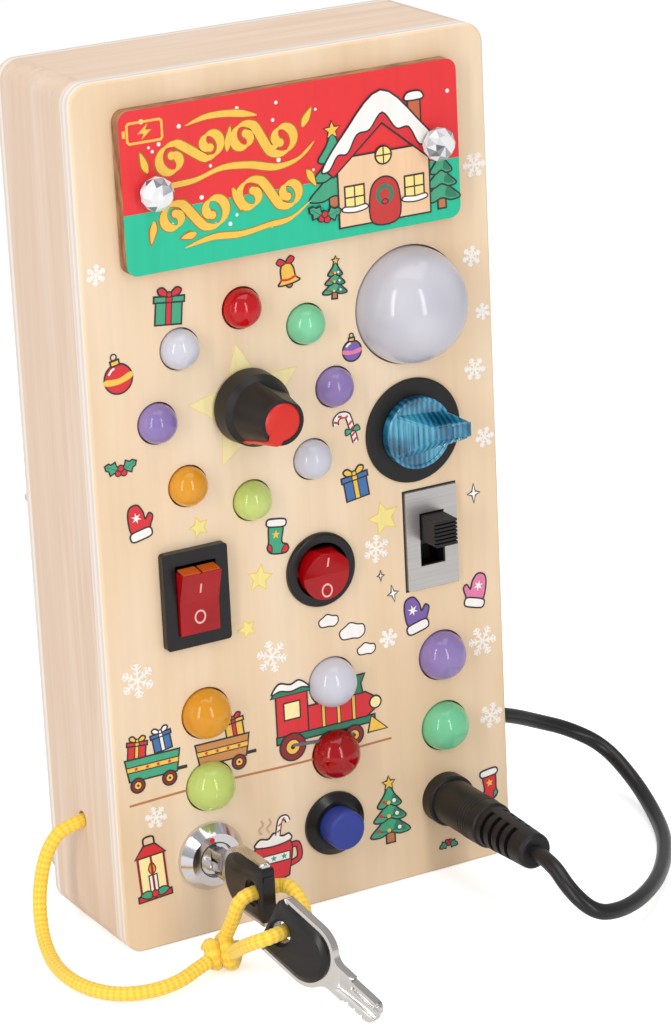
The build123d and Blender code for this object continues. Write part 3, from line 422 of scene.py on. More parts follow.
def printedDoor(name, upper="#E42A2E", lower="#17BE95", burnt="#7C4A2C", split=159.1):
    # plywood door, screen-printed red over green; its laser-cut edge is scorched brown
    material, tree, inputs = newMaterial(name, upper, Roughness=0.5)
    spot = addNode(tree, "SeparateXYZ", None,
                   {"Vector": addNode(tree, "TexCoord").outputs["Object"]})
    above = addNode(tree, "Math", {"operation": "GREATER_THAN", 1: split * mm}, {0: spot.outputs["Z"]})
    ink = addNode(tree, "Mix", {"data_type": "RGBA", mixFirst: linear(lower), mixSecond: linear(upper)},
                  {mixShare: above})
    fibres = pattern(tree, "TexNoise", (2.22, 2.22, 50.0), {"Detail": 4.0})
    streak = addNode(tree, "ValToRGB", {"stops": [(0.35, 0.93), (0.6, 1.0)]}, {"Fac": fibres})
    face = addNode(tree, "Mix", {**multiply, mixShare: 0.7}, {mixFirst: ink, mixSecond: streak})
    char = pattern(tree, "TexNoise", (5.556, 1.389, 5.556), {"Detail": 3.0})
    scorched = addNode(tree, "ValToRGB", {"stops": [(0.35, burnt), (0.7, "#B98B62")]}, {"Fac": char})
    way = addNode(tree, "SeparateXYZ", None,
                  {"Vector": addNode(tree, "NewGeometry").outputs["Normal"]})
    facing = addNode(tree, "Math", {"operation": "LESS_THAN", 1: -0.5}, {0: way.outputs["Y"]})
    addNode(tree, "Mix", {"data_type": "RGBA"}, {mixShare: facing, mixFirst: scorched, mixSecond: face},
            inputs["Base Color"])
    addNode(tree, "Bump", {"Strength": 0.05, "Distance": 0.1 * mm}, {"Height": fibres}, inputs["Normal"])
    return material


def braidedNylon(name, top="#FFDE50", mid="#FDD03C", low="#F5B92A", relief=0.09):
    # eight-strand nylon braid: raised diamonds in painted highlight, hollows in painted orange shade, short
    # fibres along the strands
    material, tree, inputs = newMaterial(name, top, Roughness=0.62, Sheen_Weight=0.3, Subsurface_Weight=0.08,
                                         Subsurface_Radius=(0.002, 0.001, 0.0005))
    height = addNode(tree, "Attribute", {"attribute_name": "relief"})
    share = addNode(tree, "MapRange", {"From Min": -relief * mm, "From Max": relief * mm},
                    {"Value": height.outputs["Fac"]})
    # painted light by height: the highest strands lightest, the hollows darkest and orange
    tone = addNode(tree, "ValToRGB", {"stops": [(0.05, low), (0.4, mid), (0.75, top)]}, {"Fac": share})
    fibres = pattern(tree, "TexNoise", 0.16667, {"Detail": 2.0})
    shade = addNode(tree, "ValToRGB", {"stops": [(0.3, 0.86), (0.65, 1.0)]}, {"Fac": fibres})
    addNode(tree, "Mix", {**multiply, mixShare: 0.8}, {mixFirst: tone, mixSecond: shade},
            inputs["Base Color"])
    addNode(tree, "Bump", {"Strength": 0.25, "Distance": 0.1 * mm}, {"Height": fibres}, inputs["Normal"])
    return material


def screenPrintedInk(name):
    # screen-printed ink: each layer's own colour, slightly uneven coverage, satin
    material, tree, inputs = newMaterial(name, "#FFFFFF", Roughness=0.5)
    own = addNode(tree, "Attribute", {"attribute_name": "ink"})
    fibres = pattern(tree, "TexNoise", (1.4286, 1.4286, 33.3), {"Detail": 4.0})
    shade = addNode(tree, "ValToRGB", {"stops": [(0.35, 0.92), (0.6, 1.0)]}, {"Fac": fibres})
    addNode(tree, "Mix", {**multiply, mixShare: 0.7}, {mixFirst: own.outputs["Color"], mixSecond: shade},
            inputs["Base Color"])
    return material


# the walls across, on top and below, get lighter tones than the upright side walls: painted light on the top,
# painted shade on the sides, beside the grain's real turn
pine = sandedPine("sanded pine, upright grain")
pineAcross = sandedPine("sanded pine, grain across", True, "#EBD3BD", "#E6CBB2", "#DABA9C")
plywood = birchPlywood("birch plywood, clear matt")
doorInk = printedDoor("printed plywood door")
screenInk = screenPrintedInk("screen-printed ink")
blackAbs = mouldedPlastic("black ABS, fine grain", "#171414", 0.42)
blackGloss = mouldedPlastic("black ABS, satin", "#171313", 0.28, 0.03)
blackPvc = mouldedPlastic("black PVC, satin", "#1E1D1E", 0.3, 0.02)
blueAbs = mouldedPlastic("royal blue ABS", "#2E3F97", 0.35, 0.02)
redAbs = mouldedPlastic("signal red ABS", "#D4281C", 0.32, 0.02)
nylonWhite = mouldedPlastic("natural nylon", "#E4E2DA", 0.5)
boardGreen = mouldedPlastic("green solder mask", "#1F6B3E", 0.35, 0.02)
batteryWrap = mouldedPlastic("battery foil, silver grey", "#B9BCC4", 0.3, 0.02)
wireRed = mouldedPlastic("red wire insulation", "#B8322A", 0.4, 0.02)
markPink = mouldedPlastic("pad-printed mark, pinkish white", "#F3B9B4", 0.5, 0.02)
darkSeam = mouldedPlastic("dark seam", "#2B2826", 0.5, 0.02)
chrome = polishedChrome("bright chrome")
keySteel = polishedChrome("nickel-plated key steel", "#D5D1CD", 0.16)
steel = brushedSteel("brushed steel")
brass = brushedSteel("turned brass", "#C9A25A", 0.3, (0.4, 16.67, 0.4))
domeFinishes = {"red": ("#CC1219", "#B40E16", 0.12), "mint": ("#84D8A6", "#74CC98", 0.12),
                "purple": ("#9C86C0", "#8E78B4", 0.12), "white": ("#D6D5DF", "#CAC9D6", 0.1),
                "lime": ("#CCDD80", "#C0D26C", 0.12), "orange": ("#E8A22C", "#DD931E", 0.12),
                "clearRed": ("#C0040C", "#A60208", 0.35), "flood": ("#CFCDD5", "#C3C1CB", 0.08)}
acrylic = {name: milkyAcrylic(name + " diffusing acrylic", *values) for name, values in domeFinishes.items()}
redAcrylic = milkyAcrylic("red polycarbonate", "#B6060F", "#9C020A", 0.12)
clearResin = milkyAcrylic("clear LED epoxy", "#E6E8EC", "#DADDE4", 0.6)
orangeLens = milkyAcrylic("orange lens", "#F0772A", "#E5601C", 0.3)
blueAcrylic = tintedPolycarbonate("clear blue polycarbonate", "#08506F", "#1A93BF", "#66CFEA")
crystal = facetedCrystal("faceted clear acrylic")
yellowBraid = braidedNylon("yellow nylon braid")

finishes = {pine: ("left_wall", "right_wall"), pineAcross: ("top_wall", "bottom_wall"),
            plywood: ("front_panel", "back_panel"), doorInk: ("battery_door",),
            steel: ("back_screws", "battery_contacts", "pot_body", "pot_shaft", "selector_body",
                    "slide_plate", "push_spring", "panel_nuts"),
            brass: ("door_inserts",), batteryWrap: ("batteries",), boardGreen: ("circuit_board",),
            nylonWhite: ("board_spacers",), clearResin: ("leds",), wireRed: ("wire_harness",),
            blackAbs: ("battery_box", "selector_base", "slide_body", "slide_knob", "jack_socket", "plug_body",
                       "dial_knob"),
            blackGloss: ("rect_switch_housing", "round_switch_housing", "push_body", "key_cover",
                         "spare_key_cover"),
            chrome: ("lock_body", "lock_barrel"), keySteel: ("key_blade", "spare_key_blade"),
            redAcrylic: ("rect_rocker", "round_rocker"), redAbs: ("dial_cap",), blueAbs: ("push_cap",),
            blueAcrylic: ("selector_knob",), crystal: ("left_thumb_screw", "right_thumb_screw"),
            acrylic["red"]: ("ring_dome_red",), acrylic["mint"]: ("ring_dome_mint", "row_dome_mint"),
            acrylic["purple"]: ("ring_domes_purple", "row_dome_purple"),
            acrylic["white"]: ("ring_domes_white", "row_dome_white"),
            acrylic["lime"]: ("ring_dome_lime", "row_dome_lime"),
            acrylic["orange"]: ("ring_dome_orange", "row_dome_orange"),
            acrylic["clearRed"]: ("row_dome_red",), acrylic["flood"]: ("flood_dome",),
            yellowBraid: ("yellow_cord", "key_loop"), blackPvc: ("plug_cable",)}
for finish, names in finishes.items():
    for nodeName in names:
        nodes[nodeName].data.materials.clear()
        nodes[nodeName].data.materials.append(finish)
print("finishes ready")

# cords: the route points are the ones that the solids have, in metres
cordSettings = {"radius": 0.0015, "around": 24, "fineness": 36, "relief": 0.00009, "strands": 5,
                "diamond": 0.0013}
cableSettings = {"radius": 0.0017, "around": 20, "fineness": 16}
knotSettings = {"cordKnot": {"centre": (-0.0338, -0.0352, 0.0046), "axis": (0.87, -0.45, -0.08),
                             "radius": 0.0024, "rise": 0.0062, "turns": 1.9, "phase": 0.6, "steps": 150,
                             "swell": 1.15},
                "stopKnot": {"centre": (-0.04, 0, 0.0255), "axis": (1, 0, 0),
                             "radius": 0.0013, "rise": 0.0034, "turns": 1.4, "phase": 0, "steps": 60,
                             "swell": 0.9}}
leadRoute = [(-0.04015, 0, 0.0255), (-0.0512, 0, 0.0255), (-0.0558, 0.0012, 0.0204),
             (-0.0586, 0.0006, 0.0116), (-0.0604, -0.0032, 0.0044), (-0.0624, -0.011, 0.0018),
             (-0.0638, -0.02, 0.0017), (-0.063, -0.0286, 0.0017), (-0.0592, -0.0358, 0.0018),
             (-0.053, -0.0394, 0.0022), (-0.0466, -0.0398, 0.0028), (-0.0414, -0.0378, 0.0035),
             (-0.0384, -0.0367, 0.0039)]
loopRoute = [(-0.0334, -0.0342, 0.0062), (-0.0326, -0.0378, 0.0116), (-0.0317, -0.0397, 0.0176),
             (-0.02665, -0.03975, 0.01805), (-0.022, -0.0398, 0.0183), (-0.0206, -0.0432, 0.0183),
             (-0.0208, -0.0494, 0.0137), (-0.0279, -0.0523, 0.0141), (-0.0327, -0.0542, 0.0145),
             (-0.0352, -0.0508, 0.0126), (-0.0348, -0.045, 0.0092), (-0.033, -0.0374, 0.0046)]
cableRoute = [(0.0312, -0.0542, 0.017), (0.0312, -0.0604, 0.017), (0.0313, -0.0672, 0.0128),
              (0.0346, -0.0716, 0.0086), (0.0418, -0.0704, 0.007), (0.0516, -0.0646, 0.0058),
              (0.0634, -0.0532, 0.004), (0.0754, -0.037, 0.0023), (0.0826, -0.022, 0.0019),
              (0.0854, -0.0095, 0.0052), (0.084, 0.0006, 0.0106), (0.0774, 0.005, 0.0148),
              (0.069, 0.005, 0.0186), (0.0616, 0.0024, 0.0224), (0.054, 0, 0.0255), (0.038, 0, 0.0255)]


def routePath(name, route, fineness):
    curve = bpy.data.curves.new(name, "CURVE")
    curve.dimensions = "3D"
    curve.resolution_u = fineness
    spline = curve.splines.new("NURBS")
    spline.points.add(len(route) - 1)
    for spot, place in zip(spline.points, route):
        spot.co = (*place, 1.0)
    spline.order_u = 3
    spline.use_endpoint_u = True
    holder = bpy.data.objects.new(name, curve)
    scene.collection.objects.link(holder)
    line = evaluatedMesh(holder)
    path = [vertex.co.copy() for vertex in line.vertices]
    bpy.data.objects.remove(holder)
    bpy.data.meshes.remove(line)
    return path


def tubeMesh(name, path, radius, around, relief=None):
    # a round tube along the path; relief gives its height over the radius by angle and distance
    side = None
    distance = 0.0
    vertices, heights = [], []
    for i, place in enumerate(path):
        ahead = (path[min(i + 1, len(path) - 1)] - path[max(i - 1, 0)]).normalized()
        if side is None:
            side = ahead.orthogonal().normalized()
        else:
            distance += (place - path[i - 1]).length
            side = (side - ahead * side.dot(ahead)).normalized()
        other = ahead.cross(side)
        for j in range(around):
            angle = 2 * pi * j / around
            height = relief(angle, distance) if relief else 0.0
            vertices.append(place + (side * cos(angle) + other * sin(angle)) * (radius + height))
            heights.append(height)
    faces = []
    for i in range(len(path) - 1):
        for j in range(around):
            k = (j + 1) % around
            faces.append((i * around + j, i * around + k, (i + 1) * around + k, (i + 1) * around + j))
    faces += [tuple(range(around))[::-1], tuple(len(vertices) - around + j for j in range(around))]
    data = bpy.data.meshes.new(name)
    data.from_pydata([tuple(v) for v in vertices], [], faces)
    data.shade_smooth()
    data.set_sharp_from_angle(angle=radians(60))
    if relief:
        stored = data.attributes.new("relief", "FLOAT", "POINT")
        stored.data.foreach_set("value", heights)
    return data, distance


def braid(angle, distance):
    # two sets of crossing strands leave small raised diamonds
    run = pi * distance / cordSettings["diamond"]
    turn = cordSettings["strands"] * angle
    return cordSettings["relief"] * cos(turn + run) * cos(turn - run)


def knotPath(centre, axis, radius, rise, turns, phase, steps):
    # a strand wound round itself: out from the middle line, round, and back in
    axis = Vector(axis).normalized()
    side = axis.orthogonal().normalized()
    other = axis.cross(side)
    path = []
    for i in range(steps + 1):
        share = i / steps
        reach = radius * min(1.0, share / 0.1, (1 - share) / 0.1)
        angle = phase + 2 * pi * turns * share
        middle = Vector(centre) + axis * rise * (share - 0.5)
        path.append(middle + (side * cos(angle) + other * sin(angle)) * reach)
    return path


def makeKnot(name, body):
    values = dict(knotSettings[name])
    radius = cordSettings["radius"] * values.pop("swell")
    data = tubeMesh(name, knotPath(**values), radius, cordSettings["around"], braid)[0]
    return meshPiece(name, data, body, yellowBraid)


def makeCord(name, route, settings, relief, finish, node):
    path = routePath(name + "Route", route, settings["fineness"])
    data, length = tubeMesh(name, path, settings["radius"], settings["around"], relief)
    data.materials.append(finish)
    piece = bpy.data.objects.new(name, data)
    scene.collection.objects.link(piece)
    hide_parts(node)
    return piece, path, length


def makeCords():
    lead, leadPath, leadLength = makeCord("yellowCord", leadRoute, cordSettings, braid, yellowBraid,
                                          "yellow_cord")
    loop, loopPath, loopLength = makeCord("keyLoop", loopRoute, cordSettings, braid, yellowBraid,
                                          "key_loop")
    cable, cablePath, cableLength = makeCord("plugCable", cableRoute, cableSettings, None, blackPvc,
                                             "plug_cable")
    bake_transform(lead)
    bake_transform(loop)
    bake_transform(cable)
    knot = makeKnot("cordKnot", "key_ring")
    stop = makeKnot("stopKnot", "board")
    print("cords", round(leadLength, 4), round(loopLength, 4), round(cableLength, 4))


# faceted thumb screws of the battery door; profiles and rows are radius and height over the panel
thumbSettings = {"places": {"left": (-32.2, 163.23), "right": (32.6, 163.23)}, "facets": 10,
                 "rows": ((2.5, 3.85), (3.5, 5.3), (3.5, 6.6), (2.3, 8.35)),
                 "stud": ((0, -3.7), (1.5, -3.7), (1.5, 3.0), (2.6, 3.0), (2.6, 3.6), (2.3, 3.86), (0, 3.86))}


def crystalShape():
    # rings of facet corners, each turned half a facet from the one below, between a flat foot and table
    rows, count = thumbSettings["rows"], thumbSettings["facets"]
    vertices = [(0, 0, rows[0][1]), (0, 0, rows[-1][1])]
    for row, (radius, height) in enumerate(rows):
        for i in range(count):
            angle = 2 * pi * (i + 0.5 * (row % 2)) / count
            vertices.append((radius * cos(angle), radius * sin(angle), height))
    faces = []
    last = 2 + (len(rows) - 1) * count
    for i in range(count):
        j = (i + 1) % count
        faces += [(0, 2 + j, 2 + i), (1, last + i, last + j)]
        for row in range(len(rows) - 1):
            low, high = 2 + row * count, 2 + (row + 1) * count
            if row % 2 == 0:
                faces += [(low + i, low + j, high + i), (low + j, high + j, high + i)]
            else:
                faces += [(low + i, high + j, high + i), (low + i, low + j, high + j)]
    return vertices, faces


def makeThumbScrews():
    for side, spot in thumbSettings["places"].items():
        body, node = side + "_screw", side + "_thumb_screw"
        head = frontPiece(side + "Crystal", spot, crystalShape(), body, crystal, (node,), 5)
        # a random painted reflection, lighter or darker, for each facet
        tones = head.data.attributes.new("facet", "FLOAT", "FACE")
        tones.data.foreach_set("value", [random.random() for face in head.data.polygons])
        frontPiece(side + "Stud", spot, turned(thumbSettings["stud"], 40), body, chrome, (node,))


# the black dial's red cap; its tail widens from the rim and runs down the cone to the skirt
dialSettings = {"place": (-12.0, 114.5), "pointerAngle": 210, "tailDepth": 1.4,
                "cap": ((0, 14.1), (3.95, 14.1), (3.95, 15.35), (3.6, 15.7), (2.75, 15.85), (0, 15.9)),
                # reach, height, half width, and height at the inside
                "tail": ((2.4, 15.85, 1.9, 14.2), (4.5, 15.62, 1.5, 14.2), (5.05, 15.0, 1.25, 13.9),
                         (5.9, 10.5, 1.05, 10.3), (6.72, 6.5, 0.9, 6.2), (7.2, 5.6, 0.8, 5.2))}


def makeDialCap():
    angle = radians(90 - dialSettings["pointerAngle"])
    across = (-sin(angle), cos(angle))
    along = (cos(angle), sin(angle))
    vertices, faces = [], []
    for reach, height, half, low in dialSettings["tail"]:
        for distance, up in ((reach, height), (reach - dialSettings["tailDepth"], low)):
            for side in (-half, half):
                vertices.append((along[0] * distance + across[0] * side,
                                 along[1] * distance + across[1] * side, up))
    end = len(vertices) - 4
    for a in range(0, end, 4):
        b = a + 4
        faces += [(a, a + 1, b + 1, b), (a + 2, b + 2, b + 3, a + 3), (a, b, b + 2, a + 2),
                  (a + 1, a + 3, b + 3, b + 1)]
    faces += [(0, 2, 3, 1), (end, end + 1, end + 3, end + 2)]
    shape = joined(turned(dialSettings["cap"]), (vertices, faces))
    frontPiece("dialPointer", dialSettings["place"], shape, "dial", redAbs, ("dial_cap",), 35)


# ribs along both shoulders, the ramp and the crest of the blue selector
selectorSettings = {"place": (26.8, 101.59), "ribWidth": 0.34, "ribHeight": 0.3,
                    "foot": ((-6.2, 4.7, 2.9), (6.5, 3.6, 2.9)), "top": ((1.7, 1.2, 6.0), (10.1, 1.5, 7.3)),
                    "sideRibs": 15, "sideSpan": (0.04, 0.93), "sideOut": (0, 1, 0.8),
                    "rampRibs": 8, "rampShare": 0.85, "rampOut": (-0.4, 0, 1),
                    "crest": ((2.4, 1.1, 6.1), (9.7, 1.1, 7.24)), "crestRibs": 9, "crestHeight": 0.2,
                    "rim": ((7.35, 2.85), (7.72, 2.85), (7.72, 3.15), (7.35, 3.3), (6.95, 3.15),
                            (6.95, 2.85))}


def ribBetween(start, end, out, height):
    # a ridge with its foot sunk half its height
    out = Vector(out)
    ahead = (end - start).normalized()
    side = ahead.cross(out).normalized() * selectorSettings["ribWidth"] / 2
    up = side.cross(ahead).normalized() * height
    if up.dot(out) < 0:
        up = -up
    section = (-side - up * 0.5, up, side - up * 0.5)
    vertices = [tuple(middle + corner) for middle in (start, end) for corner in section]
    return vertices, [(0, 1, 2), (3, 5, 4), (0, 3, 4, 1), (1, 4, 5, 2), (0, 2, 5, 3)]


def makeSelectorRibs():
    values = selectorSettings
    height, spot = values["ribHeight"], values["place"]
    (footLeft, footRight), (topLeft, topRight), (crestLeft, crestRight) = (
        [Vector(corner) for corner in values[key]] for key in ("foot", "top", "crest"))
    ribs = []
    for flip in (Vector((1, -1, 1)), Vector((1, 1, 1))):
        for i in range(1, values["sideRibs"]):
            share = i / values["sideRibs"]
            foot, top = footLeft.lerp(footRight, share), topLeft.lerp(topRight, share)
            start, end = (foot.lerp(top, reach) * flip for reach in values["sideSpan"])
            ribs.append(ribBetween(start, end, Vector(values["sideOut"]) * flip, height))
    for i in range(1, values["rampRibs"]):
        edge = footLeft.lerp(topLeft, i / values["rampRibs"]) * Vector((1, values["rampShare"], 1))
        ribs.append(ribBetween(edge * Vector((1, -1, 1)), edge, values["rampOut"], height))
    for i in range(values["crestRibs"]):
        edge = crestLeft.lerp(crestRight, i / (values["crestRibs"] - 1))
        ribs.append(ribBetween(edge * Vector((1, -1, 1)), edge, (0, 0, 1), values["crestHeight"]))
    frontPiece("selectorRibs", spot, joined(*ribs), "selector", blueAcrylic, sharp=20)
    rim = turned(values["rim"], closed=True)
    frontPiece("selectorRim", spot, rim, "selector", blueAcrylic, sharp=50)


# marks on both rockers and the clear raised end of one; each face is hollow and leans about its pin
rockerSettings = {"rockers": {"rect": ((-26.8, 76.3), 6.9, "rect_switch"),
                              "round": ((3.1, 75.6), 5.4, "round_switch")},
                  "lean": 9, "pin": 0.5, "middle": 2.8, "endRise": 0.9, "stroke": 0.17, "sunk": -0.02,
                  "proud": 0.05, "bar": {"height": 3.2, "half": 1.1},
                  "ring": {"height": -3.4, "radius": 1.15, "stretch": 1.15},
                  "lens": (((-4.2, 6.86, 0.6), (-0.25, 7.12, 3.5)), ((0.25, 6.86, 0.6), (4.2, 7.12, 3.5)))}


def leaned(a, b, c):
    lean, pin = radians(rockerSettings["lean"]), rockerSettings["pin"]
    return (a, b * cos(lean) - (c + pin) * sin(lean), b * sin(lean) + (c + pin) * cos(lean) - pin)


def onRocker(a, b, height, reach):
    # a spot at a height over the rocker's face, which reaches this far up and down
    return leaned(a, b, rockerSettings["middle"] + rockerSettings["endRise"] * abs(b) / reach + height)


def makeRockerMarks():
    values = rockerSettings
    stroke, sunk, proud, bar, ring = (values[key] for key in ("stroke", "sunk", "proud", "bar", "ring"))
    barCorners = oblong(-stroke, bar["height"] - bar["half"], stroke, bar["height"] + bar["half"])
    sides = [(i, (i + 1) % 4, 4 + (i + 1) % 4, 4 + i) for i in range(4)]
    ringShape = turned(oblong(ring["radius"] - stroke, sunk, ring["radius"] + stroke, proud), 40, True)
    for name, (spot, reach, body) in values["rockers"].items():
        barVertices = [onRocker(a, b, height, reach) for height in (sunk, proud) for a, b in barCorners]
        ringVertices = [onRocker(a, b * ring["stretch"] + ring["height"], c, reach)
                        for a, b, c in ringShape[0]]
        shape = joined((barVertices, [(0, 3, 2, 1), (4, 5, 6, 7)] + sides), (ringVertices, ringShape[1]))
        frontPiece(name + "Marks", spot, shape, body, markPink, sharp=20)
    vertices, faces = joined(*(boxMesh(*corners) for corners in values["lens"]))
    spot, reach, body = values["rockers"]["rect"]
    shape = ([leaned(*v) for v in vertices], faces)
    frontPiece("rockerLens", spot, shape, body, orangeLens, sharp=20)


# red dot and dark seam on the lock's face ring
lockSettings = {"place": (-26.65, 18.05), "dotPlace": (-27.55, 22.65),
                "dot": ((0, 3.28), (0.62, 3.28), (0.62, 3.34), (0.5, 3.38), (0, 3.4)),
                "seam": ((3.62, 2.5), (3.95, 3.26), (3.95, 3.34), (3.7, 3.32), (3.55, 2.5))}


def makeLockMarks():
    dot, seam = turned(lockSettings["dot"], 32), turned(lockSettings["seam"], 64, True)
    frontPiece("lockDot", lockSettings["dotPlace"], dot, "board", redAbs)
    frontPiece("lockSeam", lockSettings["place"], seam, "board", darkSeam)


# both keys: moulded covers with a hole for the cord, and milled grooves in the blades
# a key's frame is the end of its cover, the way out along its flat face, and the way up from its blade
keySettings = {"length": 16.7, "half": 6.0, "thick": 2.1, "bevel": 1.25, "bevelDepth": 0.55, "edge": 0.12,
               "corner": 0.6, "hole": 2.4, "holeFlare": 0.5, "holeDepth": (1.3, 1.7, 4), "holeFromEnd": 3.7,
               "bar": ((-1.2, 3.2, -0.2), (1.2, 4.4, 0.28)),
               "keys": {"key": ((-26.65, -43.45, 18.05), (0, -1, 0), (0, 0, 1)),
                        "spare": ((-29.0, -49.2, 15.75), (-0.29604, 0.84114, 0.45222),
                                  (0.2400, -0.3927, 0.8878))},
               "bodies": {"key": "key", "spare": "key_ring"},
               "covers": {"key": "key_cover", "spare": "spare_key_cover"},
               "blades": {"key": "key_blade", "spare": "spare_key_blade"},
               # side of the blade, lower and upper edge, and where the groove ends
               "grooves": ((1, -0.7, 0.5, -20.6), (-1, -0.5, 0.7, -20.6), (1, 1.1, 1.75, -23.4),
                           (-1, -1.75, -1.1, -23.4)),
               "grooveFloor": 0.55, "grooveMouth": 1.4, "grooveFlare": 0.35, "tip": -32.0}


def onKey(name):
    # returns what turns a place on the key, in millimetres, into one in the scene
    end, out, up = (Vector(values) for values in keySettings["keys"][name])
    out.normalize()
    up = (up - out * up.dot(out)).normalized()
    side = up.cross(out)
    return lambda a, b, c: (end + side * a + up * b + out * c) * mm


def coverOutline(inset):
    half = keySettings["half"] - inset
    top, low = -inset, -keySettings["length"] + inset
    corner = keySettings["corner"]
    spots = [(half, top - corner), (half - corner * 0.3, top - corner * 0.3), (half - corner, top)]
    spots += [(-a, b) for a, b in reversed(spots)]
    steps = 24
    for i in range(steps + 1):
        angle = pi + pi * i / steps
        spots.append((half * cos(angle), low + half + half * sin(angle)))
    return spots


def coverShape():
    thick, bevel, depth, edge = (keySettings[key] for key in ("thick", "bevel", "bevelDepth", "edge"))
    shoulder = thick - depth
    layers = [(-thick, bevel), (-shoulder, edge), (-shoulder + 0.1, 0), (shoulder - 0.1, 0), (shoulder, edge),
              (thick, bevel)]
    vertices = [(height, a, b) for height, inset in layers for a, b in coverOutline(inset)]
    count, faces = len(coverOutline(0)), []
    for row in range(len(layers) - 1):
        faces += [(row * count + i, row * count + (i + 1) % count, (row + 1) * count + (i + 1) % count,
                   (row + 1) * count + i) for i in range(count)]
    faces += [tuple(range(count))[::-1], tuple((len(layers) - 1) * count + i for i in range(count))]
    return vertices, faces


def makeKeyCovers():
    hole, wide = keySettings["hole"], keySettings["hole"] + keySettings["holeFlare"]
    inner, outer, through = keySettings["holeDepth"]
    lower = [(0, -through), (wide, -through), (wide, -outer), (hole, -inner)]
    drill, drillFaces = turned(lower + [(a, -b) for a, b in reversed(lower)], 48)
    vertices, faces = coverShape()
    bar, barFaces = boxMesh(*keySettings["bar"])
    for name, node in keySettings["covers"].items():
        placed, body = onKey(name), keySettings["bodies"][name]
        blank = newMesh(name + "Blank", [placed(*v) for v in vertices], faces, 25)
        cutter = newMesh(name + "Drill", [placed(c, a, b - keySettings["holeFromEnd"]) for a, b, c in drill],
                         drillFaces)
        data = cutMesh(name + "Cover", blank, [cutter], 25)
        meshPiece(name + "Cover", data, body, blackGloss, (node,))
        data = newMesh(name + "Bar", [placed(*v) for v in bar], barFaces)
        meshPiece(name + "Bar", data, body, blackGloss)


def makeKeyBlades():
    floor, mouth, flare = (keySettings[key] for key in ("grooveFloor", "grooveMouth", "grooveFlare"))
    for name, node in keySettings["blades"].items():
        placed, cutters = onKey(name), []
        for turn, low, high, stop in keySettings["grooves"]:
            corners = [(turn * floor, (low + high) / 2), (turn * mouth, low - flare),
                       (turn * mouth, high + flare)]
            vertices = [placed(a, b, c) for c in (keySettings["tip"], stop) for a, b in corners]
            cutters.append(newMesh(name + "Groove", vertices,
                                   [(0, 1, 2), (3, 5, 4), (0, 3, 4, 1), (1, 4, 5, 2), (2, 5, 3, 0)]))
        blank = cleaned(nodes[node].data.copy(), 1e-6, False)
        data = cutMesh(name + "Metal", blank, cutters, 30)
        data.materials.clear()
        meshPiece(name + "Metal", data, keySettings["bodies"][name], keySteel, (node,))


# silver collar and fine rings on the plug
plugSettings = {"place": (31.2, 17.0), "collar": ((4.5, 3.4), (4.98, 3.4), (4.98, 3.93), (4.5, 3.93)),
                "ring": ((4.9, -0.22), (5.08, -0.16), (5.13, 0), (5.08, 0.16), (4.9, 0.22)),
                "rings": 4, "firstRing": 13.4, "ringSpacing": 1.0}


def rowTree():
    # copies of one item in a row from the start, one step apart, in their finish
    tree = bpy.data.node_groups.new("row of rings", "GeometryNodeTree")
    tree.interface.new_socket("Geometry", in_out="OUTPUT", socket_type="NodeSocketGeometry")
    kinds = {"Count": "Int", "Start": "Vector", "Step": "Vector", "Item": "Object", "Finish": "Material"}
    names = {name: tree.interface.new_socket(name, in_out="INPUT", socket_type="NodeSocket" + kind).identifier
             for name, kind in kinds.items()}
    given = tree.nodes.new("NodeGroupInput").outputs
    line = addNode(tree, "MeshLine", {"mode": "OFFSET"},
                   {"Count": given["Count"], "Start Location": given["Start"], "Offset": given["Step"]})
    item = addNode(tree, "ObjectInfo", None, {"Object": given["Item"]})
    copies = addNode(tree, "InstanceOnPoints", None,
                     {"Points": line, "Instance": item.outputs["Geometry"]})
    real = addNode(tree, "RealizeInstances", None, {"Geometry": copies})
    addNode(tree, "SetMaterial", None, {"Geometry": real, "Material": given["Finish"]},
            tree.nodes.new("NodeGroupOutput").inputs["Geometry"])
    return tree, names


def makePlugRings():
    frontPiece("plugCollar", plugSettings["place"], turned(plugSettings["collar"], 64, True), "plug", chrome)
    ring, ringFaces = turned(plugSettings["ring"], 64, True)
    ringMesh = newMesh("plugRing", [point(a, -c, b) for a, b, c in ring], ringFaces, 60)
    item = bpy.data.objects.new("plugRing", ringMesh)
    holder = bpy.data.objects.new("plugRingRow", bpy.data.meshes.new("plugRingRow"))
    for made in (item, holder):
        scene.collection.objects.link(made)
    tree, names = rowTree()
    row = holder.modifiers.new("rings", "NODES")
    row.node_group = tree
    row[names["Count"]] = plugSettings["rings"]
    row[names["Start"]] = tuple(onFront(*plugSettings["place"], (0, 0, plugSettings["firstRing"])))
    row[names["Step"]] = (0, -plugSettings["ringSpacing"] * mm, 0)
    row[names["Item"]] = item
    row[names["Finish"]] = blackAbs
    data = evaluatedMesh(holder)
    data.name = "plugRings"
    holder.modifiers.remove(row)
    for made in (item, holder):
        bpy.data.objects.remove(made)
    meshPiece("plugRings", data, "plug", None)
    print("plug rings", len(data.vertices))


# printed drawings: thin closed layers of ink, their colours kept on the mesh
inkSettings = {"first": 0.02, "step": 0.005, "under": 0.01, "outline": "#2B2427", "red": "#D8272F",
               "green": "#3FA47C", "deepGreen": "#2C7D5E", "gold": "#F2C14B", "paleYellow": "#F4E08C",
               "white": "#F7F2EC", "brown": "#B9774A", "beige": "#EFC79E", "blue": "#3E6FA8",
               "pink": "#E27BA6", "purple": "#7A5AA6"}
penSettings = {"corner": 1.5, "steps": 5}
nibSettings = {"slant": (0.5, 0.866), "thin": 0.25, "tip": 0.15, "taper": 0.25}


def newSheet(face):
    return {"face": face, "vertices": [], "faces": [], "colours": []}


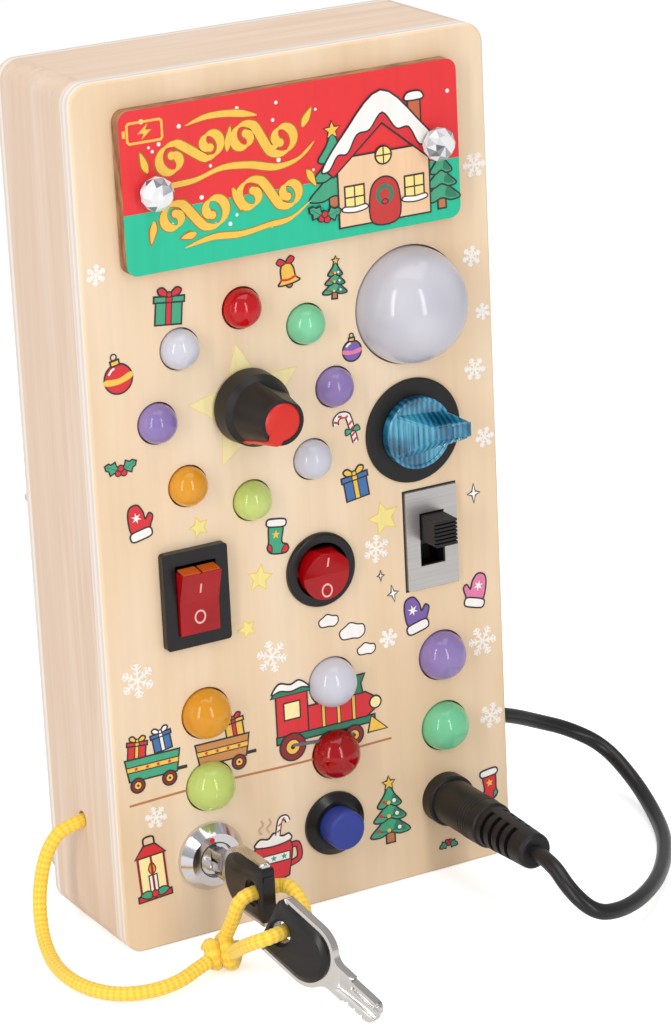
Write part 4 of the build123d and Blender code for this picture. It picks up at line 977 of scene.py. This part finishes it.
def addPrism(sheet, outline, strips, colour, layer):
    # strips are the top's triangles or quads as numbers into outline
    count, base = len(outline), len(sheet["vertices"])
    top = sheet["face"] - inkSettings["first"] - layer * inkSettings["step"]
    low = sheet["face"] + inkSettings["under"]
    sheet["vertices"] += [point(x, y, z) for y in (top, low) for x, z in outline]
    made = [tuple(base + i for i in face) for face in strips]
    made += [tuple(base + count + i for i in reversed(face)) for face in strips]
    used = {(i, j): True for face in strips for i, j in zip(face, face[1:] + face[:1])}
    for i, j in used:
        if (j, i) not in used:
            made.append((base + j, base + i, base + count + i, base + count + j))
    sheet["faces"] += made
    sheet["colours"] += [linear(inkSettings.get(colour, colour))] * len(made)


def layInk(sheet, outline, colour, layer):
    flat = [Vector((x, z, 0)) for x, z in outline]
    addPrism(sheet, outline, [tuple(face) for face in tessellate_polygon([flat])], colour, layer)


def penLine(sheet, line, width, colour, layer, closed, nib=False):
    # the line's two edges stand off each spot, squarely to the way through it
    count = len(line)
    left, right = [], []
    for i, here in enumerate(line):
        before = line[i - 1] if i > 0 or closed else here
        after = line[(i + 1) % count] if i < count - 1 or closed else here
        ways = []
        for start, end in ((before, here), (here, after)):
            length = hypot(end[0] - start[0], end[1] - start[1])
            if length > 1e-6:
                ways.append(((end[0] - start[0]) / length, (end[1] - start[1]) / length))
        way = (sum(w[0] for w in ways), sum(w[1] for w in ways))
        size = max(hypot(*way), 0.3)
        spread = len(ways) / size if len(ways) == 2 else 1 / size
        broad = width * min(spread, penSettings["corner"]) / 2
        if nib:
            # a broad nib held at a slant: thick downstrokes, thin upstrokes, pointed ends
            slant, thin = nibSettings["slant"], nibSettings["thin"]
            broad *= thin + (1 - thin) * abs(way[0] * slant[0] - way[1] * slant[1]) / size
            broad *= min(1.0, nibSettings["tip"] + nibSettings["taper"] * min(i, count - 1 - i))
        across = (-way[1] / size * broad, way[0] / size * broad)
        left.append((here[0] + across[0], here[1] + across[1]))
        right.append((here[0] - across[0], here[1] - across[1]))
    last = count if closed else count - 1
    strips = [(i, (i + 1) % count, count + (i + 1) % count, count + i) for i in range(last)]
    addPrism(sheet, left + right, strips, colour, layer)


def curved(spots, closed):
    # a soft line through every spot
    count, steps = len(spots), penSettings["steps"]
    line = []
    for i in range(count if closed else count - 1):
        if closed:
            a, b, c, d = (spots[(i + k) % count] for k in (-1, 0, 1, 2))
        else:
            a, b, c, d = (spots[min(max(i + k, 0), count - 1)] for k in (-1, 0, 1, 2))
        for k in range(steps):
            t = k / steps
            line.append(tuple(0.5 * (2 * q + (r - p) * t + (2 * p - 5 * q + 4 * r - s) * t * t
                                     + (3 * q - p - 3 * r + s) * t ** 3) for p, q, r, s in zip(a, b, c, d)))
    return line if closed else line + [spots[-1]]


def pen(sheet, x, z, size=1.0, turn=0.0, mirror=1, base=0):
    # returns a brush that draws at one spot; each stroke lies over the one before
    state = {"layer": base}
    swing = radians(turn)

    def brush(spots, fill=None, line="outline", width=0.36, closed=True, soft=True, nib=False):
        shape = curved(spots, closed) if soft else spots
        places = [(x + (a * mirror * cos(swing) - b * sin(swing)) * size,
                   z + (a * mirror * sin(swing) + b * cos(swing)) * size) for a, b in shape]
        if fill:
            layInk(sheet, places, fill, state["layer"])
            state["layer"] += 1
        if line:
            penLine(sheet, places, width * (size if nib else 1), line, state["layer"], closed, nib)
            state["layer"] += 1
    return brush


def stroke(brush, spots, colour, width, soft=True, nib=False):
    brush(spots, None, colour, width, False, soft, nib)


def disc(a, b, radius, count=14, squeeze=1.0):
    return [(a + radius * cos(2 * pi * i / count), b + radius * squeeze * sin(2 * pi * i / count))
            for i in range(count)]


def oblong(left, low, right, high):
    return [(left, low), (right, low), (right, high), (left, high)]


def starShape(a, b, outer, inner, tips=5, start=90):
    return [(a + (inner if i % 2 else outer) * cos(radians(start + 180 * i / tips)),
             b + (inner if i % 2 else outer) * sin(radians(start + 180 * i / tips))) for i in range(2 * tips)]


def drawStar(brush, colour="paleYellow", edge="#E9CF6B"):
    brush(starShape(0, 0, 3, 1.45), colour, edge, 0.25, soft=False)


def drawBauble(brush, colour, band):
    brush(disc(0, 0, 2.6), colour)
    brush([(-2.5, -0.5), (0, -0.95), (2.5, -0.5), (2.5, 0.5), (0, 0.05), (-2.5, 0.5)], band, None)
    brush(oblong(-0.8, 2.4, 0.8, 3.3), "gold", soft=False)
    brush(disc(0, 3.9, 0.55, 8), None, width=0.25)
    stroke(brush, [(-1.6, 1.2), (-0.9, 1.8), (-0.3, 2.0)], "white", 0.4)


def drawGift(brush, colour, ribbon):
    brush(oblong(-2.6, -3, 2.6, 1.0), colour, soft=False)
    brush(oblong(-0.55, -3, 0.55, 1.0), ribbon, soft=False, width=0.25)
    brush(oblong(-3.0, 1.0, 3.0, 2.1), colour, soft=False)
    brush(oblong(-0.6, 1.0, 0.6, 2.1), ribbon, soft=False, width=0.25)
    for side in (-1, 1):
        brush([(0, 2.1), (side * 1.2, 3.6), (side * 2.3, 3.3), (side * 1.8, 2.3)], ribbon)
    brush(disc(0, 2.4, 0.5, 8), ribbon, width=0.25)


def drawStocking(brush, colour, patch):
    brush([(-1.5, 2.4), (-1.4, -1.0), (-1.6, -2.2), (-0.6, -3.2), (2.2, -3.2), (3.0, -2.4), (2.6, -1.5),
           (1.4, -0.9), (1.3, 2.4)], colour)
    brush([(1.6, -3.1), (2.8, -2.9), (2.9, -2.0), (2.3, -1.5), (1.7, -2.2)], patch, width=0.25)
    brush([(-1.4, -1.4), (-0.7, -1.8), (-0.6, -2.9), (-1.5, -2.4)], patch, width=0.25)
    brush([(-2.0, 2.2), (-2.0, 3.4), (0, 3.6), (1.8, 3.4), (1.8, 2.2), (0, 2.0)], "white")
    brush(starShape(0, 0.5, 0.9, 0.4), "gold", None, soft=False)


def drawCane(brush, bow="green"):
    cane = [(0.6, -3.6), (0.6, 1.6), (0.2, 2.9), (-1.2, 3.4), (-2.4, 2.8), (-2.7, 1.7)]
    stroke(brush, cane, "outline", 1.55)
    stroke(brush, cane, "white", 0.95)
    for a, b, lean in ((0.6, -3.0, 1), (0.6, -1.7, 1), (0.6, -0.4, 1), (0.6, 0.9, 1), (0.1, 2.5, 0.4),
                       (-1.3, 3.2, -0.6), (-2.5, 2.3, -1)):
        stroke(brush, [(a - 0.42, b - 0.3 * lean), (a + 0.42, b + 0.3 * lean)], "red", 0.5, soft=False)
    for side in (-1, 1):
        brush([(0.6, -0.9), (0.6 + side * 1.4, -0.1), (0.6 + side * 1.7, -1.4)], bow, width=0.25)


def drawBell(brush, colour="gold"):
    brush(disc(0, -2.5, 0.7, 8), "brown")
    brush([(-2.5, -2.2), (-1.7, -1.2), (-1.5, 0.8), (-0.7, 2.1), (0.7, 2.1), (1.5, 0.8), (1.7, -1.2),
           (2.5, -2.2), (0, -2.5)], colour)
    stroke(brush, [(-1.9, -1.1), (0, -1.5), (1.9, -1.1)], "red", 0.5)
    for side in (-1, 1):
        brush([(0, 2.2), (side * 1.2, 3.3), (side * 2.1, 2.6), (side * 1.3, 1.8)], "red", width=0.28)


def drawHolly(brush):
    for turn in (25, 155):
        swing = radians(turn)
        leaf = []
        for i in range(12):
            along = (i if i <= 6 else 12 - i) / 6 * 3.6
            wide = sin(pi * along / 3.6) * (1.35 if i % 2 else 0.75) * (1 if i <= 6 else -1)
            leaf.append((along * cos(swing) - wide * sin(swing), along * sin(swing) + wide * cos(swing)))
        brush(leaf, "green", soft=False, width=0.3)
        stroke(brush, [(0, 0), (3.2 * cos(swing), 3.2 * sin(swing))], "deepGreen", 0.2, soft=False)
    for a, b in ((-0.55, -0.2), (0.6, -0.3), (0, 0.6)):
        brush(disc(a, b, 0.62, 9), "red", width=0.25)


def drawMitten(brush, colour, cuff="white"):
    brush([(-1.5, -1.6), (-1.7, 1.0), (-1.0, 2.9), (0.5, 3.0), (1.2, 1.6), (1.3, 0.2), (2.2, 0.9), (2.7, 0.2),
           (2.0, -1.0), (1.3, -1.8)], colour)
    brush([(-1.9, -1.5), (-1.9, -2.8), (0, -3.0), (1.7, -2.8), (1.7, -1.5), (0, -1.3)], cuff)
    brush(starShape(-0.2, 0.9, 0.95, 0.35, 6), "white", None, soft=False)


def drawFir(brush, lights=True):
    brush(oblong(-0.8, -5.4, 0.8, -3.4), "brown", soft=False)
    tiers = ((-3.7, 3.7, 0.2), (-1.2, 3.0, 2.2), (1.2, 2.2, 4.6))
    for low, half, top in tiers:
        brush([(-half, low), (-half * 0.5, low - 0.45), (0, low + 0.1), (half * 0.5, low - 0.45), (half, low),
               (half * 0.45, (low + top) / 2), (0, top), (-half * 0.45, (low + top) / 2)], "green")
        brush([(half * 0.85, low + 0.05), (half * 0.2, low + 0.35), (half * 0.35, (low + top) / 2)],
              "deepGreen", None)
    if lights:
        for low, half in ((-2.9, 2.6), (-0.4, 2.0), (1.9, 1.3)):
            stroke(brush, [(-half, low), (0, low - 0.5), (half, low + 0.5)], "#245F48", 0.22)
            for share, colour in ((-0.8, "red"), (-0.1, "gold"), (0.65, "white")):
                brush(disc(half * share, low - 0.35 + 0.35 * abs(share), 0.33, 7), colour, None)
    brush(starShape(0, 4.9, 1.2, 0.55), "gold", width=0.22, soft=False)


def drawSnowflake(brush, arms=6):
    for i in range(arms):
        angle = 2 * pi * i / arms
        way, side = (cos(angle), sin(angle)), (-sin(angle), cos(angle))
        stroke(brush, [(0, 0), (3.6 * way[0], 3.6 * way[1])], "white", 0.4, soft=False)
        for reach, spread in ((1.3, 0.75), (2.2, 0.95), (3.0, 0.6)):
            for turn in (-1, 1):
                out, across = reach + spread * 0.8, turn * spread
                tip = (out * way[0] + across * side[0], out * way[1] + across * side[1])
                stroke(brush, [(reach * way[0], reach * way[1]), tip], "white", 0.36, soft=False)


def drawSparkle(brush):
    brush([(0, 2.4), (0.45, 0.5), (1.7, 0), (0.45, -0.5), (0, -2.4), (-0.45, -0.5), (-1.7, 0), (-0.45, 0.5)],
          "white", width=0.25, soft=False)


def drawLantern(brush):
    stroke(brush, [(-1.2, 6.0), (-1.0, 7.6), (1.0, 7.6), (1.2, 6.0)], "outline", 0.4)
    brush([(-3.4, 3.6), (-1.3, 6.0), (1.3, 6.0), (3.4, 3.6)], "red", soft=False)
    brush(oblong(-2.9, -4.6, 2.9, 3.6), "#FBE9A8", soft=False)
    brush([(-0.9, -4.4), (-0.9, -0.6), (0.9, -0.6), (0.9, -4.4)], "white", soft=False, width=0.3)
    brush([(0, 2.2), (0.8, 0.7), (0, -0.5), (-0.8, 0.7)], "#F28C28", width=0.25)
    for a in (-2.9, 0, 2.9):
        stroke(brush, [(a, -4.6), (a, 3.6)], "#8C1D22", 0.5, soft=False)
    brush(oblong(-3.7, -5.8, 3.7, -4.6), "red", soft=False)
    for side in (-1, 1):
        brush([(0, -4.8), (side * 1.6, -3.7), (side * 3.2, -4.4), (side * 1.7, -5.4)], "green", width=0.28)
    brush(disc(0, -4.7, 0.75, 9), "red", width=0.25)


def drawMug(brush):
    stroke(brush, [(3.4, 1.4), (5.6, 1.6), (5.9, -1.4), (3.2, -2.4)], "outline", 1.5)
    stroke(brush, [(3.4, 1.4), (5.6, 1.6), (5.9, -1.4), (3.2, -2.4)], "red", 0.85)
    brush([(-3.9, 3.0), (-3.6, -3.6), (-2.6, -4.9), (2.6, -4.9), (3.6, -3.6), (3.9, 3.0)], "red")
    brush([(-3.8, 0.6), (3.8, 0.6), (3.7, -1.2), (-3.7, -1.2)], "white", width=0.28, soft=False)
    for a in (-2.4, 0, 2.4):
        brush(starShape(a, -0.3, 0.75, 0.34), "green", None, soft=False)
    brush([(-4.1, 3.0), (-3.0, 4.5), (-1.0, 4.2), (0.4, 5.2), (2.2, 4.2), (3.8, 4.4), (4.1, 3.0), (0, 2.4)],
          "white")
    stroke(brush, [(1.2, 4.5), (1.9, 7.6), (3.2, 8.0), (3.7, 7.0)], "outline", 1.3)
    stroke(brush, [(1.2, 4.5), (1.9, 7.6), (3.2, 8.0), (3.7, 7.0)], "white", 0.75)
    for a, b in ((1.4, 5.4), (1.7, 6.7), (2.6, 7.8)):
        stroke(brush, [(a - 0.3, b - 0.2), (a + 0.35, b + 0.25)], "red", 0.4, soft=False)
    for a in (-2.4, -0.6):
        stroke(brush, [(a, 5.6), (a - 0.6, 6.6), (a + 0.4, 7.6), (a, 8.6)], "#C9A98C", 0.35)


def drawWheel(brush, a, b, radius):
    brush(disc(a, b, radius), "#8C1D22")
    brush(disc(a, b, radius * 0.55, 10), "gold", width=0.25)
    brush(disc(a, b, radius * 0.18, 6), "outline", None)


def drawEngine(brush):
    # boiler, cab, chimney, cow catcher
    brush(oblong(-11.6, -3.2, 14.4, -1.4), "deepGreen", soft=False)
    brush([(13.4, -1.6), (17.6, -5.6), (12.4, -5.6)], "gold", soft=False)
    brush(oblong(-11.4, -1.4, -3.2, 8.6), "red", soft=False)
    brush(oblong(-9.4, 2.4, -5.2, 6.6), "#FBE9A8", soft=False)
    brush([(-12.6, 8.4), (-11.2, 10.2), (-3.6, 10.2), (-2.0, 8.4)], "deepGreen", soft=False)
    brush([(-12.4, 9.3), (-10.4, 11.6), (-7.4, 10.9), (-5.0, 11.5), (-2.4, 9.3), (-4.6, 9.7), (-7.4, 9.2),
           (-10.2, 9.8)], "white")
    brush([(-3.2, -1.4), (-3.2, 4.6), (12.2, 4.6), (14.2, 3.2), (14.2, -0.2), (12.2, -1.4)], "red",
          soft=False)
    for a in (0.4, 4.4, 8.4):
        brush(oblong(a, -1.4, a + 0.9, 4.6), "gold", width=0.22, soft=False)
    brush([(8.6, 4.6), (9.0, 7.0), (7.9, 9.2), (12.1, 9.2), (11.0, 7.0), (11.4, 4.6)], "deepGreen",
          soft=False)
    brush([(1.4, 4.6), (1.4, 6.4), (3.0, 7.2), (4.6, 6.4), (4.6, 4.6)], "gold")
    brush(disc(14.6, 1.6, 1.5), "#FBE9A8")
    drawWheel(brush, -7.6, -4.4, 3.3)
    drawWheel(brush, 2.0, -5.3, 2.4)
    drawWheel(brush, 8.6, -5.3, 2.4)
    stroke(brush, [(-7.6, -4.0), (2.0, -4.9), (8.6, -4.9)], "#6B6468", 0.7, soft=False)


def drawWagon(brush, colour):
    brush([(-7.6, 2.4), (-6.6, -3.4), (6.6, -3.4), (7.6, 2.4)], colour, soft=False)
    brush([(-7.3, 0.4), (7.3, 0.4), (7.1, -1.0), (-7.1, -1.0)], "gold", width=0.25, soft=False)
    for a in (-4.6, -1.5, 1.5, 4.6):
        brush(starShape(a, -0.3, 0.62, 0.3), "red", None, soft=False)
    stroke(brush, [(6.9, -2.8), (9.4, -2.8)], "outline", 0.7, soft=False)
    drawWheel(brush, -4.4, -4.7, 1.9)
    drawWheel(brush, 4.4, -4.7, 1.9)


def drawCottage(brush):
    # beige cottage with a red roof under thick snow, lit windows, wreath on the door
    brush(oblong(6.4, 3.0, 9.4, 12.6), "#C7643C", soft=False)
    brush([(5.8, 12.2), (6.4, 13.8), (9.4, 13.8), (10.0, 12.2)], "white")
    brush(oblong(-11.0, -12.4, 11.0, 2.4), "beige", soft=False)
    brush([(-14.0, 0.4), (-7.4, 7.4), (0, 13.6), (7.4, 7.4), (14.0, 0.4), (12.0, -1.4), (0, 8.4),
           (-12.0, -1.4)], "red", soft=False)
    brush([(-14.6, 0.6), (-9.6, 7.0), (0, 15.4), (9.6, 7.0), (14.6, 0.6), (12.9, 0.2), (10.9, 2.9),
           (8.8, 2.6), (6.4, 6.6), (3.4, 6.8), (0.2, 10.6), (-3.0, 7.4), (-6.0, 6.8), (-8.4, 3.2),
           (-10.8, 3.0), (-12.9, 0.2)], "white")
    brush([(-3.2, -12.4), (-3.2, -5.2), (0, -3.0), (3.2, -5.2), (3.2, -12.4)], "#C5342F")
    brush(disc(0, -6.8, 1.7, 12), None, "deepGreen", 0.9)
    brush([(-0.8, -8.4), (0, -7.8), (0.8, -8.4), (0, -8.9)], "red", width=0.22)
    for a in (-7.2, 7.2):
        brush(oblong(a - 2.3, -8.6, a + 2.3, -3.8), "#FBE08A", soft=False)
        stroke(brush, [(a, -8.6), (a, -3.8)], "outline", 0.3, soft=False)
        stroke(brush, [(a - 2.3, -6.2), (a + 2.3, -6.2)], "outline", 0.3, soft=False)
        brush([(a - 2.9, -9.0), (a - 2.6, -8.1), (a, -8.3), (a + 2.6, -8.1), (a + 2.9, -9.0), (a, -9.5)],
              "white", width=0.28)
    brush(disc(0, 1.6, 1.9, 12), "#FBE08A")
    stroke(brush, [(-1.9, 1.6), (1.9, 1.6)], "outline", 0.28, soft=False)
    stroke(brush, [(0, -0.3), (0, 3.5)], "outline", 0.28, soft=False)


def scroll(a, b, wide, narrow, turns=1.1):
    # an S-scroll: out of one curl, across, and into the other
    gap, way = hypot(b[0] - a[0], b[1] - a[1]), atan2(b[1] - a[1], b[0] - a[0])
    lean = acos((wide + narrow) / gap)
    path = []
    for i in range(15):
        angle, reach = way + lean + 2 * pi * turns * (1 - i / 14), wide * (0.3 + 0.7 * i / 14)
        path.append((a[0] + reach * cos(angle), a[1] + reach * sin(angle)))
    for i in range(15):
        angle, reach = way + pi + lean + 2 * pi * turns * i / 14, narrow * (1 - 0.7 * i / 14)
        path.append((b[0] + reach * cos(angle), b[1] + reach * sin(angle)))
    return path


def drawFlourish(brush):
    # gold scrollwork in two rows, with long sweeps, leaves and beads
    rows = [scroll((-14.4, 6.6), (-5.6, 9.0), 3.7, 3.2), scroll((2.4, 8.8), (11.2, 7.6), 3.3, 3.8),
            scroll((-14.6, -5.4), (-5.6, -5.0), 3.3, 3.9), scroll((3.4, -3.6), (12.2, -4.2), 3.8, 3.2),
            [(-20.0, 0.2), (-15.4, 1.4), (-9.4, 1.8), (-3.0, 3.4), (3.4, 3.0), (9.6, 1.6), (15.0, 2.6),
             (18.8, 5.6)],
            [(-12.6, -12.0), (-6.0, -10.8), (0.6, -11.2), (7.0, -10.4), (12.4, -9.8), (17.4, -6.8)],
            [(-11.0, 13.4), (-6.0, 14.6), (0.0, 14.4), (5.6, 13.2)]]
    leaves = ((-1.6, 6.6, 80, 5.2), (-1.0, -1.2, -70, 5.4), (16.2, 9.0, 60, 4.4), (-20.0, 5.0, 110, 4.6),
              (-19.4, -5.2, -100, 4.8), (16.6, -0.2, -60, 4.2), (7.2, 5.0, 20, 3.4), (-9.8, -9.2, 190, 3.6))
    for width, colour, grow in ((2.5, "#A6741E", 0.3), (2.0, "gold", 0.0)):
        for row in rows:
            stroke(brush, row, colour, width, nib=True)
        for row in rows[:4]:
            for end in (row[0], row[-1]):
                brush(disc(*end, 0.85 + grow), colour, None)
        for a, b, turn, length in leaves:
            tip, flank = (cos(radians(turn)), sin(radians(turn))), (-sin(radians(turn)), cos(radians(turn)))
            outline = ((0, 0.1 + grow), (0.3, 0.85 + grow), (0.65, 0.6 + grow), (1 + grow / 3, 0.0),
                       (0.65, -0.5 - grow), (0.3, -0.55 - grow))
            shape = [(a + tip[0] * length * s + flank[0] * w, b + tip[1] * length * s + flank[1] * w)
                     for s, w in outline]
            brush(shape, colour, None)


def drawBattery(brush):
    brush([(-4.2, -2.5), (4.2, -2.5), (4.7, -2.0), (4.7, 2.0), (4.2, 2.5), (-4.2, 2.5), (-4.7, 2.0),
           (-4.7, -2.0)], None, "gold", 0.5, soft=False)
    stroke(brush, [(-5.6, -0.9), (-5.6, 0.9)], "gold", 0.7, soft=False)
    brush([(0.9, 1.9), (-1.9, -0.35), (-0.2, -0.4), (-0.9, -1.9), (1.9, 0.35), (0.2, 0.4)], "gold", None,
          soft=False)


# what is printed where: drawing, its colours, then place, size, turn and mirror; each group starts
# at its own ink layer, over what is printed before it
boardDrawings = {14: [
    (drawStar, ("#F4E3A6", "#EBD58C"), -12.0, 114.5, 4.5, 8), (drawBell, (), -1.0, 140.6, 1.0, 8),
    (drawGift, ("green", "red"), -28.4, 138.0, 1.15, -6),
    (drawBauble, ("red", "gold"), -40.6, 125.4, 1.2, 10), (drawFir, (), 10.0, 137.4, 0.78, -4),
    (drawHolly, (), -41.4, 106.0, 1.1), (drawMitten, ("red",), -38.2, 94.4, 1.25, 12),
    (drawStar, (), -24.6, 90.6, 0.75, 15),
    (drawStocking, ("green", "red"), -7.0, 84.8, 1.1, -8), (drawCane, (), 11.6, 105.0, 1.0, 14),
    (drawBauble, ("purple", "pink"), 13.2, 121.4, 0.85), (drawGift, ("blue", "gold"), 12.6, 92.4, 1.05, 8),
    (drawStar, (), 19.0, 83.6, 1.25, 12), (drawStar, (), -11.2, 76.6, 1.0, -10),
    (drawStar, (), -14.8, 66.2, 0.7, 20), (drawSparkle, (), 41.2, 84.6, 0.9),
    (drawSparkle, (), 20.4, 66.4, 0.8, 10), (drawSparkle, (), 17.6, 71.0, 0.5),
    (drawMitten, ("purple",), 25.6, 60.4, 1.35, 14), (drawMitten, ("pink",), 41.0, 62.6, 1.25, -16, -1),
    (drawWagon, ("green",), -38.6, 41.6, 0.84), (drawWagon, ("#C98A4B",), -22.2, 41.2, 0.84),
    (drawEngine, (), 1.4, 41.6, 0.92), (drawLantern, (), -40.3, 17.6, 1.05, 4),
    (drawMug, (), -11.6, 13.6, 1.05), (drawFir, (), 17.2, 17.0, 1.35),
    (drawStocking, ("red", "green"), 42.6, 17.0, 1.05, 6, -1), (drawHolly, (), 31.6, 6.2, 0.7, 180)]}
doorDrawings = {1: [(drawFlourish, (), -13.2, 162.2, 0.97), (drawBattery, (), -32.8, 175.4, 0.82)],
                16: [(drawFir, (False,), 9.2, 161.4, 1.6), (drawFir, (False,), 34.4, 155.4, 1.2)],
                34: [(drawCottage, (), 20.8, 160.8, 0.98)], 84: [(drawHolly, (), 6.4, 151.6, 1.15, -10)]}
parcels = (("red", "gold", -42.0, 45.6, 0.8, -6), ("blue", "white", -36.2, 46.4, 0.8, 8),
           ("gold", "red", -19.2, 45.4, 0.8, 6))
steamPuffs = ((13.4, 55.2, 1.5), (10.2, 59.8, 2.1), (4.6, 63.4, 1.6))
railPlace = (-15, 33.4)
snowSpots = ((44.2, 156.0, 0.75), (42.8, 136.6, 0.62), (45.0, 124.2, 0.5), (42.6, 112.0, 0.7),
             (44.4, 96.6, 0.62), (16.8, 77.2, 0.85), (-9.4, 58.8, 1.0), (42.0, 50.8, 0.95),
             (43.6, 33.2, 0.8), (-40.8, 60.6, 1.05), (-38.6, 29.6, 0.7), (18.8, 56.6, 0.6),
             (-44.0, 147.5, 0.6))
snowTurn = 17
plateGapShade = {"gap": 0.1, "width": 0.5}
doorDots = {"count": 46, "x": (-36.5, 37.0), "z": (148.6, 178.0), "size": (0.25, 0.5), "clearOfScrews": 5.5}


def drawAll(sheet, drawings):
    for base, group in drawings.items():
        for draw, extras, *place in group:
            draw(pen(sheet, *place, base=base), *extras)


def drawLoads(sheet):
    # parcels standing in the wagons, the engine's puffs of steam, and the rail
    for colour, ribbon, *place in parcels:
        drawGift(pen(sheet, *place), colour, ribbon)
    for place in steamPuffs:
        pen(sheet, *place)([(-1.2, -0.5), (-1.5, 0.3), (-0.8, 0.8), (-0.2, 1.1), (0.6, 0.8), (1.3, 0.6),
                            (1.4, -0.2), (0.8, -0.7), (0, -0.6)], "white", width=0.3)
    stroke(pen(sheet, *railPlace), [(-29.5, 0), (-10, 0.5), (12, 0.1), (33.5, 0.4)], "brown", 0.5)


def drawPlateGapShade(sheet):
    # a thin dark frame printed round the slide plate: painted shade at the plate's edges
    low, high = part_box("slide_plate")
    gap = plateGapShade["gap"]
    outline = oblong(low[0] / mm - gap, low[2] / mm - gap, high[0] / mm + gap, high[2] / mm + gap)
    pen(sheet, 0, 0)(outline, None, width=plateGapShade["width"], soft=False)


def drawDoorDots(sheet):
    # loose snow, clear of both screws
    random.seed(11)
    for i in range(doorDots["count"]):
        x, z = random.uniform(*doorDots["x"]), random.uniform(*doorDots["z"])
        if all(hypot(x - a, z - b) > doorDots["clearOfScrews"] for a, b in thumbSettings["places"].values()):
            pen(sheet, x, z, random.uniform(*doorDots["size"]))(disc(0, 0, 1, 8), "white", None)


def inkPiece(name, sheet, body):
    data = bpy.data.meshes.new(name)
    data.from_pydata([tuple(v) for v in sheet["vertices"]], [], sheet["faces"])
    cleaned(data)
    colours = data.color_attributes.new("ink", "FLOAT_COLOR", "CORNER")
    values = [channel for face, colour in zip(data.polygons, sheet["colours"])
              for corner in face.loop_indices for channel in colour]
    colours.data.foreach_set("color", values)
    meshPiece(name, data, body, screenInk)


def makePrints():
    board, door = newSheet(panelFace), newSheet(doorFace)
    drawPlateGapShade(board)
    drawLoads(board)
    drawAll(board, boardDrawings)
    for i, place in enumerate(snowSpots):
        drawSnowflake(pen(board, *place, snowTurn * i))
    inkPiece("boardPrint", board, "board")
    drawAll(door, doorDrawings)
    drawDoorDots(door)
    inkPiece("doorPrint", door, "door")
    print("prints", len(board["faces"]), len(door["faces"]))


def makePushSpring():
    coil = nodes["push_spring"].data.copy()
    piece = meshPiece("pushSpring", coil, "board", None, ("push_spring",))
    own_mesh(piece)


makeCords()
makePrints()
makePushSpring()
makeKeyBlades()
makeThumbScrews()
makeDialCap()
makeSelectorRibs()
makeRockerMarks()
makeLockMarks()
makeKeyCovers()
makePlugRings()
print("pieces ready")
